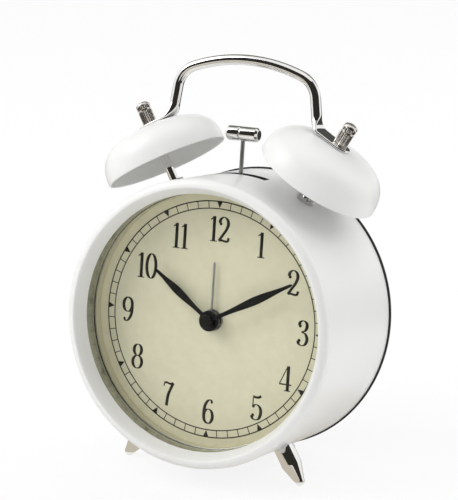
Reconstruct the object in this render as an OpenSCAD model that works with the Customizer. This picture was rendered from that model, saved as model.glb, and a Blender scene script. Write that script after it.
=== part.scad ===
// Twin-bell analog alarm clock: a painted steel drum on two turned feet and its own rear edge,
// with two struck bells, a rod handle, a quartz movement and a magnet-driven hammer.
// Sizes are millimetres. Each piece is drawn in the dial's own frame, with x to three o'clock,
// y to twelve o'clock, z to the viewer and the dial's face at z = 0. posed() leans it back and
// stands it on the floor, with +Z up, the dial facing -Y and the origin under the middle.

/* [Case] */
// Outer diameter of the steel drum
case_d = 97.4; // [92:0.2:120]
// Thickness of the pressed steel of drum, bezel and bells
sheet = 0.8; // [0.6:0.05:1.2]
// Front edge of the drum ahead of the dial's face
case_front = 11; // [9.5:0.1:15]
// Rear edge of the drum behind the dial's face
case_back = 37.2; // [35:0.1:48]
// Backward lean of the standing clock in degrees
lean = 7.8; // [4:0.1:12]

/* [Bezel and glass] */
// Radial width of the rolled bezel
bezel_w = 5.5; // [4.5:0.1:7]
// Height of the roll's middle above the front edge of the drum
bezel_rise = 1.1; // [0.6:0.05:1.8]
// Front face of the glass at its edge, ahead of the dial's face
glass_z = 4.4; // [4.2:0.1:5.5]
// Thickness of the glass
glass_t = 1.2; // [0.9:0.1:1.5]
// Rise of the glass dome
glass_rise = 5.2; // [4.6:0.1:6]
// Thickness of the dial plate
dial_t = 0.5; // [0.3:0.05:1]

/* [Hands] */
// Length of the minute hand from the centre
minute_len = 34.6; // [26:0.1:36]
// Length of the hour hand from the centre
hour_len = 26; // [18:0.1:30]
// Length of the alarm hand from the centre
alarm_len = 19.8; // [14:0.1:26]
// Greatest width of the leaf hands
hand_w = 2.8; // [2:0.1:3.4]
// Thickness of the hands
hand_t = 0.35; // [0.2:0.05:0.5]
// Minutes past ten that the hands show
minutes = 10.3; // [0:0.1:59]

/* [Bells] */
// Radius of a bell at its rim
bell_r = 21.6; // [20:0.1:22.4]
// Height of a bell
bell_h = 13.8; // [11:0.1:16]
// Power of the bell's rounded section, where 2 is an ellipse
bell_power = 2.8; // [2.4:0.1:4.5]
// Angle of a bell's post from twelve o'clock
bell_deg = 30; // [29.5:0.1:34]
// Clear height from the drum to the plane of a bell's rim
bell_lift = 8.4; // [7.5:0.1:12]
// Diameter of the threaded post
post_d = 3; // [2.5:0.1:3.4]
// Plane of bells, handle and hammer behind the dial's face
works_z = 14.4; // [13:0.1:14.8]

/* [Handle] */
// Diameter of the handle's rod
rod_d = 3.6; // [3:0.1:4.5]
// Middle of the rod at the top of the handle, above the clock's axis
handle_top = 87.4; // [84:0.1:96]
// Radius of the bowed top of the handle
bow_r = 58; // [50:0.5:80]
// Half angle of the bowed top
bow_deg = 20.5; // [18:0.1:21.5]
// Radius of the handle's shoulders
shoulder_r = 8.8; // [6:0.1:10]
// Inward slant of the handle's uprights in degrees
upright_deg = 8; // [6:0.1:11]
// Radius of the lower bends
lower_r = 6; // [4.5:0.1:8]
// Width of the flattened ends
tab_w = 8; // [6.4:0.1:9]
// Thickness of the flattened ends
tab_t = 1; // [0.8:0.05:1.5]

/* [Thumb nuts] */
// Diameter of a thumb nut
thumb_d = 5; // [4.4:0.1:7]
// Height of a thumb nut
thumb_h = 8.2; // [7.4:0.1:11]
// Number of flutes in the knurl
thumb_flutes = 20; // [14:1:24]

/* [Hammer] */
// Length of the hammer head
head_len = 12; // [10:0.1:12.4]
// Diameter of the hammer head
head_d = 5; // [4:0.1:6]
// Middle of the hammer head above the clock's axis
head_y = 62.4; // [61.5:0.1:63.5]
// Diameter of the hammer's stem
stem_d = 1.4; // [1.2:0.05:1.8]
// Pivot of the hammer above the movement's housing
pivot_rise = 7.5; // [7:0.1:9]
// Clear distance between the hammer and a bell at the end of its swing
strike_gap = 0.35; // [0.3:0.05:0.8]
// Half length of the slit in the drum for the hammer's stem
slot_half = 10; // [6:0.1:12]
// Width of that slit
slot_w = 4.2; // [2.6:0.1:5]

/* [Feet] */
// Angle of a foot from six o'clock
foot_deg = 32.4; // [26:0.1:36]
// Plane of the feet behind the dial's face
foot_z = 7; // [6:0.1:9]
// Diameter of a foot at the drum
foot_d = 7; // [6:0.1:8.5]
// Straight length of a foot at the drum
foot_straight = 6.5; // [5:0.1:8]
// Diameter of a foot's tip
foot_tip_d = 3.4; // [2.8:0.1:4]

/* [Movement] */
// Width of the movement's housing
move_w = 52; // [50:0.5:56]
// Height of the movement's housing
move_h = 33; // [32:0.5:36]
// Wall of the movement's housing
move_wall = 1.5; // [1.2:0.1:1.8]
// Module of the hour wheel and the centre wheel
tooth_module = 0.4; // [0.39:0.002:0.41]
// Radius of the setting arbors
arbor_r = 1; // [0.8:0.05:1.1]

/* [Back] */
// Rear cover beyond the drum's radius
cover_lip = 0.4; // [0.3:0.05:1]
// Thickness of the rear cover's edge
cover_edge = 1; // [0.8:0.1:2]
// Diameter of the setting knobs
knob_d = 14; // [10:0.2:16]
// Height of the setting knobs
knob_h = 7; // [5:0.1:9]
// Number of grooves round a knob
knob_grooves = 24; // [16:1:30]
// Diameter of the battery cell
cell_d = 14.3; // [13.6:0.1:14.5]
// Length of the battery cell without its button
cell_len = 49.2; // [48:0.1:50]
// Middle of the battery bay below the clock's axis
bay_y = 24; // [24:0.1:26]

/* [Fits] */
// Radial clearance of turning shafts
run = 0.07; // [0.05:0.005:0.09]
// Clearance between separate moving pieces
gap = 0.3; // [0.25:0.01:0.35]
// Radial clearance of a rod in a plain hole
loose = 0.1; // [0.05:0.01:0.2]

/* [Hidden] */
$fn = 96;
far = 200;
paint = [0.93, 0.93, 0.91];
chrome = [0.78, 0.79, 0.8];
steel = [0.62, 0.63, 0.65];
brass = [0.8, 0.66, 0.34];
black = [0.09, 0.09, 0.09];
cream = [0.86, 0.84, 0.74];
case_r = case_d / 2;
bore_r = case_r - sheet;
bezel_over = 0.1;
bezel_r = case_r + bezel_over;
roll_r = bezel_w / 2;
roll_x = bezel_r - roll_r;
roll_z = case_front + bezel_rise;
lip_r = bezel_r - bezel_w;
sleeve_r = bore_r - loose;
seat_r = sleeve_r - sheet;
stack_room = 0.2;
stack_r = seat_r - stack_room;
glass_back = glass_z - glass_t;
crimp = 0.7;
dome_r = (lip_r * lip_r + glass_rise * glass_rise) / (2 * glass_rise);
dome_z = glass_z + glass_rise - dome_r;
bush_r = 3;
bush_wall = 0.55;
alarm_tube_wall = 0.53;
hour_tube_wall = 0.68;
alarm_tube_r = bush_r - bush_wall - run;
hour_tube_r = alarm_tube_r - alarm_tube_wall - run;
minute_r = hour_tube_r - hour_tube_wall - run;
nut_r = 3.7;
nut_t = 0.8;
alarm_hand_z = nut_t + gap;
minute_hand_z = dome_z + sqrt(pow(dome_r - glass_t, 2) - minute_len * minute_len) - gap - hand_t;
hour_hand_z = (alarm_hand_z + minute_hand_z) / 2;
boss_drop = 0.2;
hour_boss = 0.8;
hour_boss_r = 3.5;
minute_boss = 1.2;
minute_boss_r = 2.3;
minute_deg = minutes * 6;
hour_deg = 300 + minutes / 2;
rim_rho = case_r + bell_lift;
bell_top = rim_rho + bell_h;
tab_top = bell_top + tab_t;
post_r = post_d / 2;
post_end = tab_top + 0.65 * thumb_h;
shoulder_t = 2.4;
hex_t = 1.8;
hex_r = 3.5;
lock_room = 0.05;
lock_rho = sqrt(bore_r * bore_r - hex_r * hex_r) - hex_t - lock_room;
rod_r = rod_d / 2;
rod_rho = bell_top + rod_r;
rod_sides = 20;
head_r = head_d / 2;
stem_r = stem_d / 2;
pivot_y = move_h / 2 + pivot_rise;
strike_x = rim_rho * sin(bell_deg) - bell_r * cos(bell_deg) - strike_gap;
strike_y = rim_rho * cos(bell_deg) + bell_r * sin(bell_deg);
swing = atan((strike_x - head_len / 2) / (strike_y - pivot_y));
hub_r = 2.2;
hub_len = 4.4;
pin_r = 1;
cheek_t = 1.2;
hub_room = 0.4;
cheek_in = hub_len / 2 + hub_room;
cheek_out = cheek_in + cheek_t;
core_r = 2.4;
core_rise = 8;
core_y = pivot_y + core_rise;
core_x = 2.5;
coil_x = 5;
coil_len = 13;
coil_r = 5.2;
wing_room = 2.2;
wing_x = coil_x + coil_len + wing_room;
wing_t = 1.2;
armature_x = core_x - (core_y + core_r - pivot_y) * tan(swing) - gap;
toe_x = 9;
leaf_t = 0.3;
leaf_set = 0.4;
leaf_half = 1.6;
leaf_end = move_h / 2 + cheek_t - leaf_set;
leaf_room = leaf_t / 2 + (pivot_y - leaf_end) * tan(swing) + gap / 2;
sin_l = sin(lean);
cos_l = cos(lean);
cover_r = case_r + cover_lip;
cover_z = case_back + cover_edge;
cover_t = 2;
cover_in = cover_z - cover_t;
stand_z = cover_r * cos_l + cover_z * sin_l;
tip_r = foot_tip_d / 2;
tip_flat = 0.15;
tip_rho = (stand_z + tip_flat - tip_r - foot_z * sin_l) / (cos(foot_deg) * cos_l);
knob_gap = 0.4;
knob_z = cover_z + knob_gap;
knob_r = knob_d / 2;
rear_reach = (knob_z + knob_h) * cos_l + knob_r * sin_l;
front_reach = roll_x * sin_l + roll_z * cos_l + roll_r;
stand_y = (front_reach - rear_reach) / 2;
plate_room = 2;
alarm_step = 0.7;
hour_step = 1.8;
minute_step = 2;
centre_step = 2.2;
motor_step = 1.4;
motor_t = 3.4;
rear_t = 2;
plate_z = dial_t + plate_room;
alarm_wheel_z = plate_z + alarm_step;
hour_wheel_z = alarm_wheel_z + hour_step;
minute_wheel_z = hour_wheel_z + minute_step;
centre_wheel_z = minute_wheel_z + centre_step;
motor_z = centre_wheel_z + motor_step;
rear_z = motor_z + motor_t;
move_back = rear_z + rear_t;
wheel_t = 0.8;
pinion_t = 1.4;
pivot_r = 0.6;
pivot_len = 1.2;
minute_teeth = 36;
cannon_teeth = 12;
hour_teeth = 40;
minute_pinion_teeth = 10;
alarm_teeth = 36;
alarm_pinion_teeth = 12;
centre_teeth = 40;
drive_teeth = 8;
set_x = (hour_teeth + minute_pinion_teeth) * tooth_module / 2;
minute_module = 2 * set_x / (minute_teeth + cannon_teeth);
alarm_module = 1.125 * tooth_module;
alarm_x = (alarm_teeth + alarm_pinion_teeth) * alarm_module / 2;
drive_y = (centre_teeth + drive_teeth) * tooth_module / 2;
motor_gap = 0.2;
motor_r = move_h / 2 - move_wall - drive_y - motor_gap;
board_x = 13;
board_t = 1.1;
board_edge = 1;
board_half_y = move_h / 2 - move_wall - board_edge;
can_r = 1.4;
pillar_inset = 4;
pillar_drop = 5.5;
pillar_lift = 6;
pillar_x = move_w / 2 - pillar_inset;
pillar_up = move_h / 2 - pillar_drop;
pillar_down = move_h / 2 - pillar_lift;
pillar_r = 2.2;
screw_r = 1.1;
screw_head_r = 2.3;
screw_head_t = 1;
screw_len = 13;
cell_r = cell_d / 2;
button_r = 2.75;
button_len = 1;
contact_t = 0.5;
contact_half = 0.7 * cell_r;
bay_wall = 1.2;
cell_room = 0.25;
bay_half_y = cell_r + cell_room;
bay_half_x = (cell_len + button_len) / 2 + contact_t;
bay_step = 0.1;
bay_rear = cover_in + bay_step;
door_t = cover_z - bay_rear - gap;
cell_drop = 0.2;
cell_z = bay_rear - cell_drop - cell_r;
bay_floor = cell_z - cell_r;
ledge = 1;
switch_y = 27;
switch_travel = 2.5;
button_half_x = 4.2;
button_half_y = 3.4;
button_t = 1.6;
button_rib = 0.5;
flange_lip = 0.4;
flange_t = 1.1;
neck_x = 2.5;
neck_y = 2;

// Stands a piece of the dial's frame on the floor, leaning back.
module posed() {
    translate([0, stand_y, stand_z])
        rotate([90 - lean, 0, 0])
            children();
}

// Points local z outward along the angle deg, clockwise from twelve, at the depth z behind the dial.
module spoke(deg, z) {
    translate([0, 0, -z])
        rotate([0, 0, -deg])
            rotate([-90, 0, 0])
                children();
}

// Tube about the clock's axis from z0 forward to z1.
module tube(inner, outer, z0, z1) {
    translate([0, 0, z0])
        difference() {
            cylinder(r = outer, h = z1 - z0);
            translate([0, 0, -1])
                cylinder(r = inner, h = z1 - z0 + 2);
        }
}

// Round bar about the clock's axis from z0 forward to z1.
module bar(radius, z0, z1) {
    translate([0, 0, z0])
        cylinder(r = radius, h = z1 - z0);
}

// Box between two corners.
module block(low, high) {
    translate(low)
        cube(high - low);
}

// Upright rectangle in a section, from (x0, z0) to (x1, z1).
module strip(x0, z0, x1, z1) {
    translate([x0, z0])
        square([x1 - x0, z1 - z0]);
}

// Hexagon nut with a round bore, on local z.
module hex_nut(bore) {
    difference() {
        cylinder(r = hex_r, h = hex_t, $fn = 6);
        translate([0, 0, -1])
            cylinder(r = bore, h = hex_t + 2);
    }
}

// Point at a radius and an angle.
function polar(radius, deg) = [radius * cos(deg), radius * sin(deg)];

// Clock gear with radial flanks below the pitch circle, one tooth on +x, from z0 forward to z1.
module gear(teeth, module_size, z0, z1) {
    pitch = teeth * module_size / 2;
    tip = pitch + 0.85 * module_size;
    root = pitch - 1.1 * module_size;
    half = 0.82 * 90 / teeth;
    step = 360 / teeth;
    outline = [for (i = [0 : teeth - 1]) each [
        polar(root, i * step - half), polar(pitch, i * step - half),
        polar(tip, i * step - 0.42 * half), polar(tip, i * step + 0.42 * half),
        polar(pitch, i * step + half), polar(root, i * step + half)]];
    translate([0, 0, z0])
        linear_extrude(z1 - z0)
            polygon(outline);
}

// Section of a bell's outside, shrunk by inset, from the rim to the crown.
function bell_edge(inset) = let (r = bell_r - inset, h = bell_h - inset)
    [for (a = [0 : 5 : 90]) [r * pow(cos(a), 2 / bell_power), h * pow(sin(a), 2 / bell_power)]];

// Drum with a slit for the hammer, holes for the posts and holes for the feet.
module case_drum() {
    color(paint)
        posed()
            difference() {
                tube(bore_r, case_r, -case_back, case_front);
                spoke(0, works_z)
                    translate([-slot_half, -slot_w / 2, bore_r / 2])
                        cube([2 * slot_half, slot_w, case_r]);
                for (side = [-1, 1]) {
                    spoke(side * bell_deg, works_z)
                        cylinder(r = post_r + loose, h = far);
                    spoke(180 + side * foot_deg, foot_z)
                        cylinder(r = post_r + loose, h = far);
                }
            }
}

// Rolled ring with a sleeve that grips the drum and is crimped over the dial.
module bezel() {
    color(paint)
        posed()
            rotate_extrude() {
                intersection() {
                    translate([roll_x, roll_z])
                        difference() {
                            circle(r = roll_r);
                            circle(r = roll_r - sheet);
                        }
                    strip(lip_r - 1, case_front, bezel_r + 1, case_front + bezel_w + bezel_rise);
                }
                strip(seat_r, case_front, bezel_r - sheet / 2, case_front + sheet);
                strip(seat_r, -dial_t - crimp, sleeve_r, case_front + sheet / 2);
                strip(seat_r - 1, -dial_t - crimp, seat_r + sheet / 2, -dial_t);
            }
}

// Bright flanged ring behind the bezel's lip that presses on the glass.
module glass_ring() {
    wall_r = roll_x - sqrt(roll_r * roll_r - bezel_rise * bezel_rise);
    color(chrome)
        posed()
            rotate_extrude() {
                strip(wall_r, glass_z, wall_r + sheet, case_front);
                strip(wall_r, glass_z, stack_r, glass_z + sheet);
            }
}

// Domed glass with a flat edge.
module crystal() {
    color([0.85, 0.93, 0.95, 0.25])
        posed()
            rotate_extrude() {
                intersection() {
                    translate([0, dome_z])
                        difference() {
                            circle(r = dome_r, $fn = 720);
                            circle(r = dome_r - glass_t, $fn = 720);
                        }
                    strip(0, glass_back, lip_r, glass_z + glass_rise + 1);
                }
                strip(lip_r - 0.6, glass_back, stack_r, glass_z);
            }
}

// Ring that holds the glass off the dial.
module dial_spacer() {
    color(cream)
        posed()
            tube(lip_r + 0.1, stack_r, 0, glass_back);
}

// Dial plate with a hole for the centre bush.
module dial() {
    color(cream)
        posed()
            tube(bush_r + loose, stack_r, -dial_t, 0);
}

// Leaf-shaped hand pointing to twelve, at height z, with a boss of the given radius, rise and bore.
module leaf_hand(length, widest, boss, rise, bore, z) {
    tip_w = 0.38 * hand_w;
    neck_w = 0.5 * hand_w;
    neck_at = 0.24 * length;
    difference() {
        union() {
            translate([0, 0, z])
                linear_extrude(hand_t)
                    polygon([[-neck_w / 2, 0], [-neck_w / 2, neck_at], [-hand_w / 2, widest * length],
                        [-tip_w / 2, 0.94 * length], [-tip_w / 4, length], [tip_w / 4, length],
                        [tip_w / 2, 0.94 * length], [hand_w / 2, widest * length],
                        [neck_w / 2, neck_at], [neck_w / 2, 0]]);
            bar(boss, z - boss_drop, z + rise);
        }
        bar(bore, z - 1, z + hand_t + boss_drop);
    }
}

// Black hour hand pressed on the hour tube.
module hour_hand() {
    color(black)
        posed()
            rotate([0, 0, -hour_deg])
                difference() {
                    leaf_hand(hour_len, 0.62, hour_boss_r, hour_boss, hour_tube_r, hour_hand_z);
                    bar(minute_r + run, hour_hand_z - 1, hour_hand_z + 2);
                }
}

// Black minute hand pressed on the minute arbor, with a closed cap.
module minute_hand() {
    color(black)
        posed()
            rotate([0, 0, -minute_deg])
                leaf_hand(minute_len, 0.6, minute_boss_r, minute_boss, minute_r, minute_hand_z);
}

// Thin grey alarm hand pressed on the alarm tube.
module alarm_hand() {
    stick_w = 0.7;
    color(steel)
        posed()
            difference() {
                union() {
                    block([-stick_w / 2, alarm_tube_r, alarm_hand_z],
                        [stick_w / 2, alarm_len, alarm_hand_z + hand_t]);
                    bar(nut_r - 0.5, alarm_hand_z, alarm_hand_z + hand_t);
                }
                bar(alarm_tube_r, alarm_hand_z - 1, alarm_hand_z + 1);
            }
}

// Pressed steel bell on the post of the given side.
module bell(side) {
    color(paint)
        posed()
            spoke(side * bell_deg, works_z)
                translate([0, 0, rim_rho])
                    difference() {
                        rotate_extrude()
                            difference() {
                                polygon(concat([[0, 0]], bell_edge(0)));
                                translate([0, -0.01])
                                    polygon(concat([[0, 0]], bell_edge(sheet)));
                            }
                        cylinder(r = post_r + loose, h = far);
                    }
}

// Bell to the left of twelve o'clock.
module bell_left() {
    bell(-1);
}

// Bell to the right of twelve o'clock.
module bell_right() {
    bell(1);
}

// Threaded post from inside the drum to inside the thumb nut, with a shoulder under the bell.
module post(side) {
    crown_h = bell_h - sheet;
    crown = rim_rho + crown_h * pow(1 - pow(hex_r / (bell_r - sheet), bell_power), 1 / bell_power) - 0.02;
    color(chrome)
        posed()
            spoke(side * bell_deg, works_z) {
                translate([0, 0, lock_rho - 0.6])
                    cylinder(r = post_r, h = post_end - lock_rho + 0.6);
                translate([0, 0, crown - shoulder_t])
                    cylinder(r = hex_r, h = shoulder_t, $fn = 6);
            }
}

// Post of the left bell.
module post_left() {
    post(-1);
}

// Post of the right bell.
module post_right() {
    post(1);
}

// Hexagon nuts that hold the posts on the outside of the drum.
module drum_nuts() {
    color(chrome)
        posed()
            for (side = [-1, 1])
                spoke(side * bell_deg, works_z)
                    translate([0, 0, case_r])
                        hex_nut(post_r);
}

// Hexagon nuts that hold the posts inside the drum.
module post_lock_nuts() {
    color(steel)
        posed()
            for (side = [-1, 1])
                spoke(side * bell_deg, works_z)
                    translate([0, 0, lock_rho])
                        hex_nut(post_r);
}

// Knurled thumb nut with a waist and a domed top, on the post of the given side.
module thumb_nut(side) {
    thumb_r = thumb_d / 2;
    cap_r = 0.62 * thumb_d;
    groove_z = 0.6 * thumb_h;
    groove_t = 0.12 * thumb_d;
    waist_r = 0.84 * thumb_r;
    flute_r = 0.088 * thumb_r;
    color(chrome)
        posed()
            spoke(side * bell_deg, works_z)
                translate([0, 0, tab_top])
                    difference() {
                        intersection() {
                            cylinder(r = thumb_r, h = thumb_h);
                            translate([0, 0, thumb_h - cap_r])
                                union() {
                                    sphere(r = cap_r);
                                    translate([0, 0, -thumb_h])
                                        cylinder(r = cap_r, h = thumb_h);
                                }
                        }
                        translate([0, 0, groove_z])
                            difference() {
                                cylinder(r = thumb_r + 1, h = groove_t);
                                translate([0, 0, -1])
                                    cylinder(r = waist_r, h = groove_t + 2);
                            }
                        for (i = [0 : thumb_flutes - 1])
                            rotate([0, 0, i * 360 / thumb_flutes])
                                translate([thumb_r, 0, -1])
                                    cylinder(r = flute_r, h = thumb_h - 0.2, $fn = 4);
                        translate([0, 0, -1])
                            cylinder(r = post_r, h = post_end - tab_top + 1);
                    }
}

// Thumb nut of the left bell.
module thumb_nut_left() {
    thumb_nut(-1);
}

// Thumb nut of the right bell.
module thumb_nut_right() {
    thumb_nut(1);
}

// Point reached from a start by an arc that leaves along a heading and turns by deg, left if positive.
function along_arc(start, heading, radius, deg) =
    start + sign(deg) * radius
        * [sin(heading + deg) - sin(heading), cos(heading) - cos(heading + deg)];

// Stations along an arc, each a point, its heading and how far the rod is pressed flat there.
// The rod goes from one flatness to another by a smooth step, and the arc's own end is left out.
function arc_stations(start, heading, radius, deg, steps, flat_from = 0, flat_to = 0) =
    [for (i = [0 : steps - 1])
        let (share = i / steps, eased = share * share * (3 - 2 * share))
            [along_arc(start, heading, radius, deg * share), heading + deg * share,
                flat_from + (flat_to - flat_from) * eased, 1]];

// Stations of the handle's right half: half the bow, shoulder, upright, lower bend and flattened end,
// whose rounded tip closes in by the last value of each station.
function handle_stations() =
    let (
        top = [0, handle_top],
        bow_end = along_arc(top, 0, bow_r, -bow_deg),
        heading = upright_deg - 90,
        shoulder_turn = heading + bow_deg,
        shoulder_end = along_arc(bow_end, -bow_deg, shoulder_r, shoulder_turn),
        lower_turn = -bell_deg - heading,
        down = [cos(heading), sin(heading)],
        outward = [sin(bell_deg), cos(bell_deg)],
        lower = along_arc([0, 0], heading, lower_r, lower_turn),
        upright = (rod_rho - (shoulder_end + lower) * outward) / (down * outward),
        upright_end = shoulder_end + upright * down,
        lower_end = upright_end + lower,
        tab_way = [cos(bell_deg), -sin(bell_deg)],
        tab_r = tab_w / 2,
        tip_deg = acos(tab_t / tab_w)
    )
    concat(
        arc_stations(top, 0, bow_r, -bow_deg, 12),
        arc_stations(bow_end, -bow_deg, shoulder_r, shoulder_turn, 10),
        [[shoulder_end, heading, 0, 1]],
        arc_stations(upright_end, heading, lower_r, lower_turn, 10, 0, 1),
        [[lower_end, -bell_deg, 1, 1]],
        [for (i = [0 : 8])
            [(tab_r * sin(tip_deg * i / 8) - lower_end * tab_way) * tab_way + lower_end, -bell_deg, 1,
                cos(tip_deg * i / 8)]]
    );

// Section of the rod at a station. A pressed rod is a slot shape: two half rounds moved apart.
// Its side towards the bell keeps its distance from the rod's line.
function rod_section(station, side) =
    let (
        flat = station[2],
        half_t = rod_r + (tab_t / 2 - rod_r) * flat,
        half_w = max((rod_r + (tab_w / 2 - rod_r) * flat) * station[3], half_t),
        normal = [-sin(station[1]), cos(station[1])],
        corner_r = half_t / cos(180 / rod_sides)
    )
    [for (i = [0 : rod_sides - 1])
        let (
            angle = 360 * (i + 0.5) / rod_sides,
            point = station[0] + (corner_r * cos(angle) + half_t - rod_r) * normal
        )
            [side * point[0], point[1], corner_r * sin(angle) + sign(sin(angle)) * (half_w - half_t)]];

// Closed skin through rings that have the same number of points.
module skin(rings) {
    sides = len(rings[0]);
    last = len(rings) - 1;
    first_cap = [for (i = [0 : sides - 1]) i];
    last_cap = [for (i = [sides - 1 : -1 : 0]) last * sides + i];
    walls = [for (j = [0 : last - 1], i = [0 : sides - 1])
        let (next = (i + 1) % sides)
            [j * sides + i, (j + 1) * sides + i, (j + 1) * sides + next, j * sides + next]];
    polyhedron(points = [for (ring = rings, point = ring) point],
        faces = concat([first_cap, last_cap], walls), convexity = 6);
}

// Bent rod handle with flattened ends, clamped between the bells and the thumb nuts.
module handle() {
    stations = handle_stations();
    count = len(stations);
    left = [for (i = [count - 1 : -1 : 1]) rod_section(stations[i], -1)];
    right = [for (station = stations) rod_section(station, 1)];
    color(chrome)
        posed()
            difference() {
                translate([0, 0, -works_z])
                    skin(concat(left, right));
                for (side = [-1, 1])
                    spoke(side * bell_deg, works_z)
                        translate([0, 0, bell_top - 1])
                            cylinder(r = post_r + loose, h = tab_t + 2);
            }
}

// Hammer stem on its pivot hub, with the iron armature that the magnet pulls.
module hammer_arm() {
    color(steel)
        posed()
            translate([0, 0, -works_z])
                difference() {
                    union() {
                        translate([0, pivot_y, -hub_len / 2])
                            cylinder(r = hub_r, h = hub_len);
                        translate([0, pivot_y + pin_r + 0.5, 0])
                            rotate([-90, 0, 0])
                                cylinder(r = stem_r, h = head_y - pivot_y - pin_r - 0.5 - 0.2 * head_r);
                        block([-stem_r, core_y - core_r, -core_r], [armature_x, core_y + core_r, core_r]);
                    }
                    translate([0, pivot_y, -hub_len])
                        cylinder(r = pin_r + run, h = 2 * hub_len);
                }
}

// Barrel-shaped head of the hammer, with a turned groove and chamfered ends.
module hammer_head() {
    chamfer = 0.7;
    groove = 0.35;
    groove_x = -0.9;
    half = head_len / 2;
    color(chrome)
        posed()
            translate([0, head_y, -works_z])
                difference() {
                    rotate([0, 90, 0])
                        rotate_extrude()
                            polygon([[0, -half], [head_r - chamfer, -half], [head_r, chamfer - half],
                                [head_r, groove_x - groove], [head_r - groove, groove_x],
                                [head_r, groove_x + groove], [head_r, half - chamfer],
                                [head_r - chamfer, half], [0, half]]);
                    translate([0, -0.2 * head_r, 0])
                        rotate([90, 0, 0])
                            cylinder(r = stem_r, h = head_r);
                }
}

// Pivot pin pressed in the bracket's cheeks.
module hammer_pin() {
    color(steel)
        posed()
            translate([0, pivot_y, -works_z - cheek_out - 0.5])
                cylinder(r = pin_r, h = 2 * cheek_out + 1);
}

// Bent plate on the movement, with two cheeks for the pin and a wing for the magnet.
module hammer_bracket() {
    foot_y = move_h / 2;
    plate_y = foot_y + cheek_t;
    slot_half_z = leaf_half + gap + 0.1;
    color(steel)
        posed()
            translate([0, 0, -works_z])
                difference() {
                    union() {
                        block([-toe_x, foot_y, -cheek_out], [wing_x + wing_t, plate_y, cheek_out]);
                        for (z = [-cheek_out, cheek_in])
                            bracket_cheek(plate_y, z);
                        block([wing_x, foot_y, -cheek_out],
                            [wing_x + wing_t, core_y + core_r + wing_t, cheek_out]);
                    }
                    translate([0, pivot_y, -far / 2])
                        cylinder(r = pin_r, h = far);
                    translate([wing_x - 1, core_y, 0])
                        rotate([0, 90, 0])
                            cylinder(r = core_r, h = wing_t + 2);
                    block([-leaf_room, leaf_end - gap, -slot_half_z], [leaf_room, plate_y + 1, slot_half_z]);
                }
}

// Cheek of the bracket with a rounded top, from the plate up to the pivot.
module bracket_cheek(plate_y, z) {
    cheek_w = 6.4;
    translate([0, 0, z])
        linear_extrude(cheek_t) {
            translate([-cheek_w / 2, plate_y - 0.4])
                square([cheek_w, pivot_y - plate_y + 0.4]);
            translate([0, pivot_y])
                circle(r = cheek_w / 2);
        }
}

// Leaf spring on the hub whose lower end stands in a slot of the bracket and centres the hammer.
module hammer_spring() {
    color(brass)
        posed()
            translate([0, 0, -works_z])
                difference() {
                    block([-leaf_t / 2, leaf_end, -leaf_half], [leaf_t / 2, pivot_y - 0.9 * hub_r, leaf_half]);
                    translate([0, pivot_y, -hub_len])
                        cylinder(r = hub_r, h = 2 * hub_len);
                }
}

// Iron core of the alarm magnet, riveted in the bracket's wing.
module magnet_core() {
    color(steel)
        posed()
            translate([core_x, core_y, -works_z])
                rotate([0, 90, 0])
                    cylinder(r = core_r, h = wing_x + wing_t - core_x + 0.4);
}

// Bobbin with its winding on the magnet's core.
module magnet_coil() {
    flange_t = 1;
    color([0.66, 0.36, 0.2])
        posed()
            translate([coil_x, core_y, -works_z])
                rotate([0, 90, 0])
                    difference() {
                        union() {
                            cylinder(r = coil_r, h = coil_len);
                            cylinder(r = coil_r + 0.7, h = flange_t);
                            translate([0, 0, coil_len - flange_t])
                                cylinder(r = coil_r + 0.7, h = flange_t);
                        }
                        translate([0, 0, -1])
                            cylinder(r = core_r, h = coil_len + 2);
                    }
}

// Turned foot with a stud through the drum and a small flat where it stands.
module foot(side) {
    taper_top = case_r + foot_straight;
    color(chrome)
        difference() {
            posed()
                spoke(180 + side * foot_deg, foot_z) {
                    translate([0, 0, lock_rho - 0.6])
                        cylinder(r = post_r, h = case_r - lock_rho + 1);
                    translate([0, 0, case_r])
                        cylinder(r = foot_d / 2, h = foot_straight);
                    translate([0, 0, taper_top])
                        cylinder(r1 = foot_d / 2, r2 = tip_r, h = tip_rho - taper_top);
                    translate([0, 0, tip_rho])
                        sphere(r = tip_r);
                }
            translate([-far / 2, -far / 2, -far])
                cube(far);
        }
}

// Foot at the left as the dial is read.
module foot_left() {
    foot(1);
}

// Foot at the right as the dial is read.
module foot_right() {
    foot(-1);
}

// Hexagon nuts that hold the feet inside the drum.
module foot_lock_nuts() {
    color(steel)
        posed()
            for (side = [-1, 1])
                spoke(180 + side * foot_deg, foot_z)
                    translate([0, 0, lock_rho])
                        hex_nut(post_r);
}

// Front housing of the movement, with the centre bush and blind bores for the arbors.
module movement_housing() {
    half = [move_w / 2, move_h / 2];
    inner = half - [move_wall, move_wall];
    color(black)
        posed()
            difference() {
                union() {
                    block([-half[0], -half[1], -rear_z], [half[0], half[1], -dial_t]);
                    bar(bush_r, -plate_z, nut_t);
                }
                block([-inner[0], -inner[1], -rear_z - 1], [inner[0], inner[1], -plate_z]);
                bar(alarm_tube_r + run, -plate_z - 1, nut_t + 1);
                for (x = [set_x, -alarm_x])
                    translate([x, 0, 0])
                        bar(pivot_r + run, -plate_z - 1, pivot_len - plate_z);
            }
}

// Rear plate of the movement, with bores for the arbors.
module movement_plate() {
    color(black)
        posed()
            difference() {
                block([-move_w / 2, -move_h / 2, -move_back], [move_w / 2, move_h / 2, -rear_z]);
                for (x = [set_x, -alarm_x])
                    translate([x, 0, 0])
                        bar(arbor_r + run, -move_back - 1, 1 - rear_z);
                bar(pivot_r + run, -rear_z - pivot_len, 1 - rear_z);
            }
}

// Round nut that clamps the dial on the movement's bush.
module centre_nut() {
    color(steel)
        posed()
            tube(bush_r, nut_r, 0, nut_t);
}

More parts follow.
